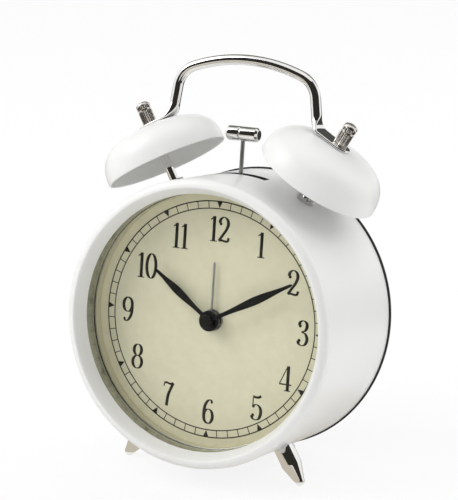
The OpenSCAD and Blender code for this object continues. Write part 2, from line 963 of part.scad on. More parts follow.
// Minute arbor with the cannon pinion and the centre wheel.
module minute_arbor() {
    front = minute_hand_z + hand_t + 0.2;
    color(brass)
        posed() {
            bar(minute_r, -rear_z + 0.2, front);
            bar(pivot_r, -rear_z - pivot_len + 0.1, -rear_z + 0.4);
            gear(cannon_teeth, minute_module, -minute_wheel_z - pinion_t + 0.3, -minute_wheel_z + 0.3);
            gear(centre_teeth, tooth_module, -centre_wheel_z - wheel_t, -centre_wheel_z);
        }
}

// Hour wheel with the tube that carries the hour hand.
module hour_wheel() {
    color(brass)
        posed()
            difference() {
                union() {
                    gear(hour_teeth, tooth_module, -hour_wheel_z - wheel_t, -hour_wheel_z);
                    bar(hour_tube_r, -hour_wheel_z - wheel_t, hour_hand_z + hand_t + 0.2);
                }
                bar(minute_r + run, -far, far);
            }
}

// Alarm wheel with the tube that carries the alarm hand.
module alarm_wheel() {
    color(brass)
        posed()
            difference() {
                union() {
                    gear(alarm_teeth, alarm_module, -alarm_wheel_z - wheel_t, -alarm_wheel_z);
                    bar(alarm_tube_r, -alarm_wheel_z - wheel_t, alarm_hand_z + hand_t);
                }
                bar(hour_tube_r + run, -far, far);
            }
}

// Stepped arbor from the movement's front plate to a knob on the back.
module setting_arbor() {
    bar(pivot_r, -plate_z - 0.5, pivot_len - plate_z - 0.1);
    bar(arbor_r, -knob_z - 0.7 * knob_h, -plate_z - 0.4);
}

// Setting arbor with the minute wheel and its pinion.
module set_arbor() {
    color(brass)
        posed()
            translate([set_x, 0, 0]) {
                setting_arbor();
                rotate([0, 0, 180 + 180 / minute_teeth])
                    gear(minute_teeth, minute_module, -minute_wheel_z - wheel_t, -minute_wheel_z);
                rotate([0, 0, 180 + 180 / minute_pinion_teeth])
                    gear(minute_pinion_teeth, tooth_module, -minute_wheel_z, -hour_wheel_z + 0.3);
            }
}

// Alarm setting arbor with its pinion.
module alarm_arbor() {
    color(brass)
        posed()
            translate([-alarm_x, 0, 0]) {
                setting_arbor();
                rotate([0, 0, 180 / alarm_pinion_teeth])
                    gear(alarm_pinion_teeth, alarm_module,
                        -alarm_wheel_z - pinion_t + 0.3, -alarm_wheel_z + 0.3);
            }
}

// Sealed stepping motor that drives the centre wheel.
module drive_motor() {
    color(steel)
        posed()
            translate([0, -drive_y, 0])
                tube(pivot_r + run, motor_r, -rear_z, -motor_z);
}

// Pinion on the motor's shaft.
module drive_pinion() {
    color(brass)
        posed()
            translate([0, -drive_y, 0]) {
                bar(pivot_r, -rear_z + 0.4, -centre_wheel_z);
                rotate([0, 0, 90 + 180 / drive_teeth])
                    gear(drive_teeth, tooth_module, -centre_wheel_z - wheel_t - 0.3, -centre_wheel_z + 0.3);
            }
}

// Circuit board on the rear plate.
module circuit_board() {
    color([0.16, 0.36, 0.22])
        posed()
            block([board_x, -board_half_y, -rear_z], [move_w / 2 - move_wall, board_half_y, -rear_z + board_t]);
}

// Quartz can lying on the circuit board.
module quartz_can() {
    can_len = 8;
    color(chrome)
        posed()
            translate([(board_x + move_w / 2) / 2, -can_len / 2, -rear_z + board_t + can_r])
                rotate([-90, 0, 0])
                    cylinder(r = can_r, h = can_len);
}

// Places children at the four pillars.
module at_pillars() {
    for (x = [-pillar_x, pillar_x], y = [-pillar_down, pillar_up])
        translate([x, y, 0])
            children();
}

// Pillars that carry the movement on the back cover.
module pillars() {
    color(brass)
        posed()
            at_pillars()
                difference() {
                    bar(pillar_r, -cover_in, -move_back);
                    bar(screw_r, -cover_in - 1, -cover_z + screw_head_t + screw_len);
                }
}

// Moulded back cover with its plug, battery bay, switch slot and screw seats.
module back_cover() {
    slot_x = neck_x + switch_travel + gap;
    outer_x = bay_half_x + bay_wall;
    outer_y = bay_half_y + bay_wall;
    plug_len = 5;
    plug_t = 1.6;
    color(black)
        posed()
            difference() {
                union() {
                    bar(cover_r, -cover_z, -case_back);
                    bar(sleeve_r, -case_back, -cover_in);
                    tube(sleeve_r - plug_t, sleeve_r, -case_back, plug_len - case_back);
                    block([-outer_x, -bay_y - outer_y, -cover_in],
                        [outer_x, outer_y - bay_y, bay_wall - bay_floor]);
                }
                block([-bay_half_x, -bay_y - bay_half_y, -bay_rear - 1],
                    [bay_half_x, bay_half_y - bay_y, -bay_floor]);
                block([-bay_half_x - ledge, -bay_y - bay_half_y - ledge, -cover_z - 1],
                    [bay_half_x + ledge, bay_half_y + ledge - bay_y, -bay_rear]);
                for (x = [set_x, -alarm_x])
                    translate([x, 0, 0])
                        bar(arbor_r + gap, -cover_z - 1, 1 - cover_in);
                block([-slot_x, switch_y - neck_y - gap, -cover_z - 1],
                    [slot_x, switch_y + neck_y + gap, 1 - cover_in]);
                at_pillars() {
                    bar(screw_r, -cover_z - 1, 1 - cover_in);
                    bar(screw_head_r, -cover_z - 1, screw_head_t - cover_z);
                }
            }
}

// Screws that hold the back cover on the pillars.
module back_screws() {
    blade = 0.61 * screw_head_r;
    blade_t = 0.25;
    slot_t = 0.5 * screw_head_t;
    color(steel)
        posed()
            at_pillars()
                difference() {
                    union() {
                        bar(screw_head_r, -cover_z, screw_head_t - cover_z);
                        bar(screw_r, -cover_z, screw_head_t + screw_len - cover_z);
                    }
                    block([-blade_t, -blade, -cover_z - 1], [blade_t, blade, slot_t - cover_z]);
                    block([-blade, -blade_t, -cover_z - 1], [blade, blade_t, slot_t - cover_z]);
                }
}

// Lift-off battery door, flush with the back cover, with a finger notch.
module battery_door() {
    half_x = bay_half_x + ledge - gap;
    half_y = bay_half_y + ledge - gap;
    notch_r = 0.62 * half_y;
    notch_t = 0.48 * door_t;
    color(black)
        posed()
            translate([0, -bay_y, -cover_z])
                difference() {
                    block([-half_x, -half_y, 0], [half_x, half_y, door_t]);
                    translate([0.78 * half_x, 0, -notch_t])
                        cylinder(r = notch_r, h = 2 * notch_t);
                }
}

// Battery cell lying across the bay, its button to the right.
module battery_cell() {
    color([0.25, 0.26, 0.28])
        posed()
            translate([-bay_half_x + contact_t, -bay_y, -cell_z])
                rotate([0, 90, 0]) {
                    cylinder(r = cell_r, h = cell_len);
                    cylinder(r = button_r, h = cell_len + button_len);
                }
}

// Leaf contact at the flat end of the cell.
module contact_spring() {
    color(chrome)
        posed()
            block([-bay_half_x, -bay_y - contact_half, -cell_z - contact_half],
                [contact_t - bay_half_x, contact_half - bay_y, contact_half - cell_z]);
}

// Flat contact at the button end of the cell.
module contact_plate() {
    color(chrome)
        posed()
            block([bay_half_x - contact_t, -bay_y - contact_half, -cell_z - contact_half],
                [bay_half_x, contact_half - bay_y, contact_half - cell_z]);
}

// Grooved knob with chamfered edges and a blind bore for a setting arbor.
module knob(x) {
    chamfer = 0.1 * knob_r;
    collar_h = 0.17 * knob_h;
    groove_r = 0.085 * knob_r;
    groove_in = 0.66 * groove_r;
    color(black)
        posed()
            translate([x, 0, 0])
                difference() {
                    translate([0, 0, -knob_z - knob_h])
                        rotate_extrude()
                            polygon([[0, 0], [knob_r - chamfer, 0], [knob_r, chamfer],
                                [knob_r, knob_h - chamfer / 2], [knob_r - chamfer / 2, knob_h], [0, knob_h]]);
                    bar(arbor_r, -knob_z - 0.7 * knob_h, 1 - knob_z);
                    for (i = [0 : knob_grooves - 1])
                        rotate([0, 0, i * 360 / knob_grooves])
                            translate([knob_r + groove_r - groove_in, 0, 0])
                                bar(groove_r, -knob_z - knob_h - 1, -knob_z - collar_h);
                }
}

// Knob that sets the time.
module time_knob() {
    knob(set_x);
}

// Knob that sets the alarm.
module alarm_knob() {
    knob(-alarm_x);
}

// Sliding alarm switch, held in the cover's slot by an inner flange.
module alarm_switch() {
    flange_x = button_half_x + flange_lip;
    flange_y = button_half_y + flange_lip / 2;
    face_z = -cover_z - gap - button_t;
    pitch = 0.48 * button_half_x;
    rib_half = 0.2 * pitch;
    color(black)
        posed()
            translate([0, switch_y, 0]) {
                block([-button_half_x, -button_half_y, face_z], [button_half_x, button_half_y, -cover_z - gap]);
                block([-neck_x, -neck_y, face_z + button_t / 2],
                    [neck_x, neck_y, gap - cover_in + flange_t / 2]);
                block([-flange_x, -flange_y, gap - cover_in], [flange_x, flange_y, gap - cover_in + flange_t]);
                for (x = [-pitch, 0, pitch])
                    block([x - rib_half, -button_half_y, face_z - button_rib],
                        [x + rib_half, button_half_y, face_z + button_rib]);
            }
}

case_drum();
bezel();
glass_ring();
crystal();
dial_spacer();
dial();
hour_hand();
minute_hand();
alarm_hand();
bell_left();
bell_right();
post_left();
post_right();
drum_nuts();
post_lock_nuts();
thumb_nut_left();
thumb_nut_right();
handle();
hammer_arm();
hammer_head();
hammer_pin();
hammer_bracket();
hammer_spring();
magnet_core();
magnet_coil();
foot_left();
foot_right();
foot_lock_nuts();
movement_housing();
movement_plate();
centre_nut();
minute_arbor();
hour_wheel();
alarm_wheel();
set_arbor();
alarm_arbor();
drive_motor();
drive_pinion();
circuit_board();
quartz_can();
pillars();
back_cover();
back_screws();
battery_door();
battery_cell();
contact_spring();
contact_plate();
time_knob();
alarm_knob();
alarm_switch();
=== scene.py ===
"""Looks of a white twin-bell alarm clock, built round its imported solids."""

import bmesh
import bpy
import numpy as np
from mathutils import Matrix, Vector, geometry


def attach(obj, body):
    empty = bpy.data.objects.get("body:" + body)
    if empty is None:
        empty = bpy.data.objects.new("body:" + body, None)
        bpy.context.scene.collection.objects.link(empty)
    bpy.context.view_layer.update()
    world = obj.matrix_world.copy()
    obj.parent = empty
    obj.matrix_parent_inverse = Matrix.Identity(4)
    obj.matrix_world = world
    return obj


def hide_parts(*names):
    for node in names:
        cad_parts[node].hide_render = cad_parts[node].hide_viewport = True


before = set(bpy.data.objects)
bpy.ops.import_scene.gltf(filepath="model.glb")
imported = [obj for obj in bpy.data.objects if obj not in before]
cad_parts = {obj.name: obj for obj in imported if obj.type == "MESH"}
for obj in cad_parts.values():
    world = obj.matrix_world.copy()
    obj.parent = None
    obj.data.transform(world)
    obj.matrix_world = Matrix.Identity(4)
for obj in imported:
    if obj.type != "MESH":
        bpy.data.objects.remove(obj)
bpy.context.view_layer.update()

# Drum: a straight tube of pressed steel, sprayed white and stoved to a satin gloss. Its inside and the
# cut edges of its sheet are near-black: painted shade, so that the slit reads dark. A slit in its top lets
# the hammer's stem out, and paint rounds its edges.
MM = 0.001
LEAN = np.radians(7.8)
STAND_Y = -12.5702
STAND_Z = 53.8301
DRUM_R = 48.7
DRUM_FRONT = 11.0
DRUM_TUCK = 0.35
DRUM_BACK = -37.2
SHEET = 0.8
WORKS_Z = 14.4
SLIT_HALF = 10.0
SLIT_W = 4.2
PAINT_ROUND = 0.3
ROUND_SEGMENTS = 3
ROUND_STEPS = 240
DRUM_STEPS = 25
TINT_RANGE = (0.35, 0.65)
ROUGH_RANGE = (0.3, 0.7)


def points_of(*coordinates):
    """Coordinates side by side as points, each spread to the shape that they share."""
    return np.stack(np.broadcast_arrays(*coordinates), -1)


def stood(points):
    """Points of the dial's frame in millimetres (x to three o'clock, y to twelve, z to the viewer) as
    metres of the standing clock: leaned back about x, raised on its stand and flattened at the floor."""
    x, y, z = np.moveaxis(np.asarray(points, float), -1, 0)
    depth = y * np.sin(LEAN) - z * np.cos(LEAN) + STAND_Y
    height = y * np.cos(LEAN) + z * np.sin(LEAN) + STAND_Z
    return MM * points_of(x, depth, np.maximum(height, 0))


def to_hour(angle):
    """Unit vectors of the dial at angles counted clockwise from twelve."""
    return points_of(np.sin(angle), np.cos(angle))


def grid_quads(rows, columns, wrap_rows, wrap_columns, first=0):
    """Corner numbers of the quads of a grid of points, closed along rows or columns where asked."""
    row = np.arange(rows if wrap_rows else rows - 1)[:, None]
    column = np.arange(columns if wrap_columns else columns - 1)
    below, beside = (row + 1) % rows, (column + 1) % columns
    corners = points_of(row * columns + column, below * columns + column,
                        below * columns + beside, row * columns + beside)
    return first + corners.reshape(-1, 4)


def placed(name, data):
    """New object in the scene."""
    thing = bpy.data.objects.new(name, data)
    bpy.context.scene.collection.objects.link(thing)
    return thing


def piece_of(name, points, faces, material, body, sharp_deg=40):
    """One object from points of the dial's frame and faces: points that coincide are merged, faces
    turned outward, edges sharper than the angle kept crisp, and the piece put on its body."""
    mesh = bpy.data.meshes.new(name)
    mesh.from_pydata(stood(points).tolist(), [], faces)
    work = bmesh.new()
    work.from_mesh(mesh)
    bmesh.ops.remove_doubles(work, verts=work.verts, dist=1e-7)
    bmesh.ops.dissolve_degenerate(work, edges=work.edges, dist=1e-8)
    bmesh.ops.recalc_face_normals(work, faces=work.faces)
    work.to_mesh(mesh)
    work.free()
    mesh.shade_smooth()
    mesh.set_sharp_from_angle(angle=np.radians(sharp_deg))
    mesh.materials.append(material)
    piece = placed(name, mesh)
    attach(piece, body)
    return piece


def feed(tree, node, inputs):
    """Gives input sockets of a node their values, or the outputs that they follow."""
    for socket, value in inputs.items():
        if isinstance(value, bpy.types.NodeSocket):
            tree.links.new(value, node.inputs[socket])
        else:
            node.inputs[socket].default_value = value


def add_node(tree, kind, inputs, **settings):
    """New shader node of a kind, with its settings and what feeds its inputs."""
    node = tree.nodes.new("ShaderNode" + kind)
    for setting, value in settings.items():
        setattr(node, setting, value)
    feed(tree, node, inputs)
    return node


def texture_group(name, fine, broad, stretch=(1.0, 1.0, 1.0), turn=(0.0, 0.0, 0.0)):
    """Shader group of two noises on Object coordinates times its Scale input, each given as scale,
    detail and roughness. The fine one is stretched and turned."""
    group = bpy.data.node_groups.new(name, "ShaderNodeTree")
    group.interface.new_socket("Scale", in_out="INPUT", socket_type="NodeSocketFloat")
    for output in ("Fine", "Broad"):
        group.interface.new_socket(output, in_out="OUTPUT", socket_type="NodeSocketFloat")
    scale = group.nodes.new("NodeGroupInput").outputs["Scale"]
    leave = group.nodes.new("NodeGroupOutput")
    place = add_node(group, "TexCoord", {}).outputs["Object"]
    sized = add_node(group, "VectorMath", {0: place, "Scale": scale}, operation="SCALE").outputs[0]
    drawn = add_node(group, "Mapping", {"Vector": sized, "Scale": stretch, "Rotation": turn}).outputs[0]
    for output, where, (size, detail, roughness) in (("Fine", drawn, fine), ("Broad", sized, broad)):
        noise = add_node(group, "TexNoise", {"Vector": where, "Scale": size, "Detail": detail,
                                             "Roughness": roughness})
        group.links.new(noise.outputs[0], leave.inputs[output])
    return group


def spread(tree, value, low, high, to_low, to_high):
    """Takes low..high of a value to another range."""
    return add_node(tree, "MapRange", {"Value": value, "From Min": low, "From Max": high,
                                       "To Min": to_low, "To Max": to_high}).outputs["Result"]


def new_material(name):
    """Material with shader nodes, and its node tree."""
    material = bpy.data.materials.new(name)
    material.use_nodes = True
    return material, material.node_tree


def finish_of(name, group, scale, dark, light, rough, bump, specular=0.5, metallic=0.0):
    """Principled material: the group's broad noise blends two colours and two roughnesses, and its fine
    noise is the height of a bump, given as its full height in metres and its strength."""
    material, tree = new_material(name)
    effect = add_node(tree, "Group", {"Scale": scale}, node_tree=group)
    broad = effect.outputs["Broad"]
    tint = add_node(tree, "Mix", {"Factor": spread(tree, broad, *TINT_RANGE, 0.0, 1.0),
                                  "A": (*dark, 1.0), "B": (*light, 1.0)}, data_type="RGBA")
    raised = add_node(tree, "Bump", {"Height": effect.outputs["Fine"], "Distance": bump[0],
                                     "Strength": bump[1]})
    feed(tree, tree.nodes["Principled BSDF"], {
        "Base Color": tint.outputs["Result"], "Normal": raised.outputs["Normal"],
        "Roughness": spread(tree, broad, *ROUGH_RANGE, *rough),
        "Specular IOR Level": specular, "Metallic": metallic})
    return material


# Shared effect: the dimpled flow of sprayed paint, and faint dust and handling marks over it.
spray = texture_group("sprayed_surface", (1.0, 2.0, 0.5), (0.03, 3.0, 0.5))
white_paint = finish_of("white_paint", spray, 700.0, (0.806, 0.806, 0.792), (0.82, 0.82, 0.806),
                        (0.33, 0.37), (0.00004, 0.06), specular=0.45)
# Painted shade: near-black for the drum's inside and the cut edges of its sheet, so that the slit reads
# dark.
inside_painted_shade = finish_of("inside_painted_shade", spray, 500.0, (0.02, 0.02, 0.019), (0.03, 0.03, 0.028),
                          (0.6, 0.75), (0.00004, 0.1), specular=0.2)

slit_deg = np.degrees(np.arcsin(SLIT_HALF / DRUM_R))
slit_ends = -WORKS_Z + SLIT_W / 2 * np.array([-1, 1])
ring = np.union1d(np.linspace(-180, 180, ROUND_STEPS, endpoint=False), [-slit_deg, slit_deg])
line = np.union1d(np.linspace(DRUM_BACK, DRUM_FRONT + DRUM_TUCK, DRUM_STEPS), slit_ends)
round_drum = DRUM_R * to_hour(np.radians(ring))[:, None]
drum_points = points_of(round_drum[..., 0], round_drum[..., 1], line)
ring_middle = ring + np.diff(ring, append=180) / 2
line_middle = line[:-1] + np.diff(line) / 2
in_slit = (np.abs(ring_middle) < slit_deg)[:, None] & (np.abs(line_middle + WORKS_Z) < SLIT_W / 2)
drum_quads = grid_quads(len(ring), len(line), wrap_rows=True, wrap_columns=False)[~in_slit.ravel()]
drum = piece_of("drum", drum_points.reshape(-1, 3), drum_quads.tolist(), white_paint, "case")
drum.data.materials.append(inside_painted_shade)
wall = drum.modifiers.new("sheet", "SOLIDIFY")
# Inside faces and cut edges take the second slot, the near-black painted shade.
wall.material_offset = 1
wall.material_offset_rim = 1
wall.thickness = MM * SHEET
wall.offset = -1
wall.use_even_offset = True
rounded_edge = drum.modifiers.new("paint_edge", "BEVEL")
rounded_edge.width = MM * PAINT_ROUND
rounded_edge.segments = ROUND_SEGMENTS
rounded_edge.limit_method = "ANGLE"
rounded_edge.angle_limit = np.radians(50)
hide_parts("case_drum")

# Bezel: a ring of the same sheet, rolled round outside, sloped down to the glass inside and sprayed
# with the drum. Its sleeve slides into the drum, and its rear edge is crimped over the dial plate.
ROLL_R = 2.75
ROLL_X = 46.05
ROLL_Z = 12.1
LIP_EDGE = (43.5, 9.9)
SEAT_R = 47.0
SLEEVE_R = 47.8
CRIMP_R = 46.0
CRIMP_BACK = -1.2
DIAL_T = 0.5
# Ways to close a grid: a closed section carried round, an open one carried round, a row of loops.
HOOP = (True, True)
SPUN = (True, False)
LOFT = (False, True)


def skin(name, shells, material, body, sharp_deg=40, flats=()):
    """One piece from shells, each a grid of points and the way it closes along its rows and columns,
    and from flats, each some points and the corner numbers of their triangles, in the dial's frame."""
    points, faces, first = [], [], 0
    for grid, closed in shells:
        points.append(grid.reshape(-1, 3))
        faces += grid_quads(*grid.shape[:2], *closed, first).tolist()
        first += len(points[-1])
    for flat, corners in flats:
        points.append(flat)
        faces += (first + np.array(corners)).tolist()
        first += len(flat)
    return piece_of(name, np.concatenate(points), faces, material, body, sharp_deg)


def all_round(steps):
    """Angles once round a circle."""
    return np.linspace(0, 2 * np.pi, steps, endpoint=False)


def way(angle):
    """Unit vectors at angles counted from the first axis towards the second."""
    return points_of(np.cos(angle), np.sin(angle))


def turned(profile, steps=ROUND_STEPS):
    """Carries a profile of (radius, height) pairs once round local z."""
    radius, height = np.asarray(profile, float).T
    angle = all_round(steps)[:, None]
    return points_of(radius * np.cos(angle), radius * np.sin(angle), height)


def parabola(start, corner, end, t):
    """Curve from start to end, for t from 0 to 1, that leaves and arrives along the lines to a corner."""
    return (1 - t) ** 2 * start + 2 * t * (1 - t) * corner + t ** 2 * end


def eased(corners, reach, closed=True, steps=4):
    """Outline whose corners are rounded: each becomes a parabola that starts and ends at the given
    reach from the corner, or at just under half of a shorter side."""
    corner = np.asarray(corners, float)
    ends = []
    for neighbour in (np.roll(corner, 1, 0), np.roll(corner, -1, 0)):
        side = neighbour - corner
        size = np.linalg.norm(side, axis=1, keepdims=True)
        ends.append((corner + side / size * np.minimum(reach, 0.45 * size))[:, None])
    curve = parabola(ends[0], corner[:, None], ends[1], np.linspace(0, 1, steps + 1)[:, None])
    if not closed:
        curve[0], curve[-1] = corner[0], corner[-1]
    return curve.reshape(-1, 2)


def roll(inset, start_z, lead, steps):
    """Sheet of the bezel at an inset from its outside: an arc from the outer side at a height up to the
    crown, then a parabola that leaves the crown level, over a lead, and falls to the inner lip."""
    angle = np.linspace(np.arcsin((start_z - ROLL_Z) / (ROLL_R - inset)), np.pi / 2, steps)
    arc = [ROLL_X, ROLL_Z] + (ROLL_R - inset) * way(angle)
    lip = np.array(LIP_EDGE) + [inset, 0]
    slope = parabola(arc[-1], arc[-1] - [lead, 0], lip, np.linspace(0, 1, steps)[1:, None])
    return np.concatenate([arc, slope])


bezel_section = np.concatenate([
    roll(0.0, DRUM_FRONT, lead=0.6, steps=28),
    roll(SHEET, DRUM_FRONT + SHEET, lead=0.2, steps=20)[::-1],
    [[SEAT_R, DRUM_FRONT + SHEET], [SEAT_R, -DIAL_T], [CRIMP_R, -DIAL_T], [CRIMP_R, CRIMP_BACK],
     [SLEEVE_R, CRIMP_BACK], [SLEEVE_R, DRUM_FRONT]]])
bezel = skin("bezel_ring", [(turned(bezel_section), HOOP)], white_paint, "case")
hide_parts("bezel")

# Glass seat: a bright ring behind the bezel's lip, whose wall closes the gap down to the glass
# and mirrors the dial. It is spun from plated sheet and presses on the glass by its beaded foot.
SEAT_WALL_R = 43.53
SEAT_EASE = 0.12
BEAD_R = 0.12
BEAD_SET = 0.9 * BEAD_R
STACK_R = 46.8
GLASS_Z = 4.4
# Shared effect: drawn or turned metal, with fine hairlines and cloudy polish.
polish = texture_group("polished_metal", (1.0, 4.0, 0.7), (0.12, 4.0, 0.55),
                       stretch=(1.0, 9.0, 1.6), turn=(0.4, 0.3, 0.9))
ring_grey = finish_of("ring_grey", polish, 2600.0, (0.53, 0.54, 0.51), (0.56, 0.57, 0.54),
                      (0.22, 0.25), (0.00001, 0.02), metallic=1.0)
seat_section = eased([[SEAT_WALL_R, GLASS_Z], [STACK_R, GLASS_Z], [STACK_R, GLASS_Z + SHEET],
                      [SEAT_WALL_R + SHEET, GLASS_Z + SHEET], [SEAT_WALL_R + SHEET, LIP_EDGE[1]],
                      [SEAT_WALL_R, LIP_EDGE[1]]], SEAT_EASE)
seat_bead = [SEAT_WALL_R - BEAD_SET, GLASS_Z + BEAD_SET] + BEAD_R * way(all_round(16))
glass_seat = skin("glass_seat", [(turned(seat_section), HOOP), (turned(seat_bead), HOOP)],
                  ring_grey, "case")
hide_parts("glass_ring")

# Glass: a shallow dome of clear glass with a flat ground edge held under the seat ring.
# Its shadow is let through, so that the dial below is lit as through thin clear glass.
DOME_EDGE_R = 43.3
GLASS_T = 1.2
GLASS_EASE = 0.2
DOME_R = 182.878
DOME_TOP = 9.6
DOME_STEPS = 40
SMEAR_SCALE = 700.0
SMEAR_RANGE = (0.3, 0.75)
SMEAR_ROUGH = 0.03


def dome(inset, reach):
    """Section of the dome at an inset from its outside, from the axis out to a reach: the height falls
    off with a sphere."""
    radius, out = DOME_R - inset, np.linspace(0, reach, DOME_STEPS)
    return points_of(out, DOME_TOP - inset - radius + np.sqrt(radius ** 2 - out ** 2))


def rays(tree, *kinds):
    """Value that is 1 for rays of the named kinds and 0 for the others."""
    path = add_node(tree, "LightPath", {})
    total = path.outputs[f"Is {kinds[0]} Ray"]
    for kind in kinds[1:]:
        larger = add_node(tree, "Math", {0: total, 1: path.outputs[f"Is {kind} Ray"]}, operation="MAXIMUM")
        total = larger.outputs[0]
    return total


def show_mix(tree, share, first, second):
    """Sends two shaders to the surface, the second by the given share."""
    mix = add_node(tree, "MixShader", {"Fac": share, 1: first.outputs[0], 2: second.outputs[0]})
    feed(tree, tree.nodes["Material Output"], {"Surface": mix.outputs[0]})


clear_glass, glass_tree = new_material("clear_glass")
glass_shader = glass_tree.nodes["Principled BSDF"]
smear = add_node(glass_tree, "Group", {"Scale": SMEAR_SCALE}, node_tree=spray)
feed(glass_tree, glass_shader, {
    "Base Color": (0.985, 0.995, 0.99, 1.0), "Transmission Weight": 1.0, "IOR": 1.1,
    "Roughness": spread(glass_tree, smear.outputs["Broad"], *SMEAR_RANGE, 0.0, SMEAR_ROUGH)})
passing = add_node(glass_tree, "BsdfTransparent", {"Color": (0.97, 0.98, 0.975, 1.0)})
show_mix(glass_tree, rays(glass_tree, "Shadow", "Diffuse"), glass_shader, passing)

glass_section = np.concatenate([
    dome(0.0, DOME_EDGE_R),
    [[STACK_R - GLASS_EASE, GLASS_Z], [STACK_R, GLASS_Z - GLASS_EASE], [STACK_R, GLASS_Z - GLASS_T]],
    dome(GLASS_T, DOME_EDGE_R - GLASS_T / 2)[::-1]])
glass = skin("dome_glass", [(turned(glass_section), SPUN)], clear_glass, "case")
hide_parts("crystal")

# Spacer and dial plate: a cream ring that holds the glass off the dial, and a sheet-metal dial
# with a matt cream print coat, fine as paper, slightly uneven where it was rolled on. The spacer's
# cream is darker than the dial's: painted shade of the deep well under the bezel.
SPACER_R = DOME_EDGE_R + 0.1
HOLE_R = 3.1
# Shared effect: the fine grain of moulded plastic, print and matt paint, with broad clouds in it.
grain = texture_group("moulded_grain", (1.0, 3.0, 0.6), (0.05, 4.0, 0.6))
dial_cream = finish_of("dial_cream", grain, 6000.0, (0.72, 0.675, 0.495), (0.755, 0.71, 0.525),
                       (0.55, 0.68), (0.00001, 0.12), specular=0.35)
# Spacer colour: the dial's cream darkened, painted shade where the bezel's wall shades the dial's edge.
spacer_painted_shade = finish_of("spacer_painted_shade", grain, 6000.0, (0.58, 0.54, 0.39), (0.61, 0.57, 0.415),
                         (0.5, 0.6), (0.00001, 0.12), specular=0.3)


def washer(inner, outer, low, high, reach):
    """Section of a flat ring with eased corners."""
    return eased([[inner, low], [outer, low], [outer, high], [inner, high]], reach)


spacer_grid = turned(washer(SPACER_R, STACK_R, 0.0, GLASS_Z - GLASS_T, reach=0.1))
spacer = skin("spacer_ring", [(spacer_grid, HOOP)], spacer_painted_shade, "case")
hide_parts("dial_spacer")
plate_grid = turned(washer(HOLE_R, STACK_R, -DIAL_T, 0.0, reach=0.06))
dial_plate = skin("dial_plate", [(plate_grid, HOOP)], dial_cream, "case")
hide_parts("dial")

# Dial print: a minute track with darts at the fives and upright serif numerals in dark brown ink.
# Each numeral is drawn with a pen that is broad going up and down and fine going across.
INK_Z = 0.012
INK_T = 0.03
TRACK_OUT = 40.35
TRACK_IN = 37.85
TRACK_HALF = {TRACK_OUT: 0.2, TRACK_IN: 0.18}
TICK_HALF = 0.14
DART_HALF = 1.05
DART_TIP = (TRACK_IN + 0.35, 0.08)
FIGURE_H = 8.7
PEN_THICK = 0.065
PEN_THIN = 0.017
PEN_TURN = 1.6
ink_black = finish_of("ink_black", grain, 5000.0, (0.022, 0.017, 0.012), (0.032, 0.026, 0.018),
                      (0.45, 0.6), (0.00001, 0.1), specular=0.3)


def through(points, steps=10):
    """Smooth line through points: on each stretch a cubic that leaves and arrives along the chord
    between the neighbours (Catmull-Rom)."""
    p = np.asarray(points, float)
    padded = np.concatenate([[2 * p[0] - p[1]], p, [2 * p[-1] - p[-2]]])
    a, b, c, d = (padded[i:len(p) - 1 + i, None] for i in range(4))
    t = np.linspace(0, 1, steps, endpoint=False)[:, None]
    curve = 0.5 * (2 * b + (c - a) * t + (2 * a - 5 * b + 4 * c - d) * t ** 2
                   + (3 * b - a - 3 * c + d) * t ** 3)
    return np.concatenate([curve.reshape(-1, 2), p[-1:]])


def sideways(path):
    """Unit normals to the left of a flat path."""
    heading = np.gradient(path, axis=0)
    heading /= np.linalg.norm(heading, axis=1, keepdims=True)
    return points_of(-heading[:, 1], heading[:, 0])


def band(left, right):
    """Quads between two lines of points."""
    return np.stack([left[:-1], left[1:], right[1:], right[:-1]], 1)


def strip(centre, half_width):
    """Band along a line, offset to both sides by the half width."""
    centre = np.asarray(centre, float)
    offset = sideways(centre) * np.reshape(half_width, (-1, 1))
    return band(centre + offset, centre - offset)


def pen(points, thick=PEN_THICK, thin=PEN_THIN):
    """Pen stroke: its half width goes from thin to thick with how steeply the line runs."""
    centre = through(points)
    steep = np.abs(sideways(centre)[:, 0])
    return strip(centre, thin + (thick - thin) * steep ** PEN_TURN)


def oval(x, y, across, up):
    """Closed pen stroke round an ellipse."""
    circle_way = way(np.linspace(0, 2 * np.pi, 49))
    centre = [x, y] + circle_way * [across, up]
    normal = circle_way * [up, across]
    normal /= np.linalg.norm(normal, axis=1, keepdims=True)
    offset = normal * (PEN_THIN + (PEN_THICK - PEN_THIN) * np.abs(normal[:, :1]) ** PEN_TURN)
    return band(centre + offset, centre - offset)


def ball(x, y, radius=0.062):
    """Ball end of a stroke: the band between the upper and lower half of a small circle."""
    half = radius * way(np.linspace(0.06, np.pi - 0.06, 13))
    return band([x, y] + half, [x, y] + half * [1, -1])


def stem(x, foot_left, foot_right):
    """Upright stroke of constant width, and its thin level foot."""
    return [strip(np.linspace((x, 0.02), (x, 0.985), 3), PEN_THICK),
            strip(np.linspace((foot_left, 0.018), (foot_right, 0.018), 3), PEN_THIN * 1.1)]


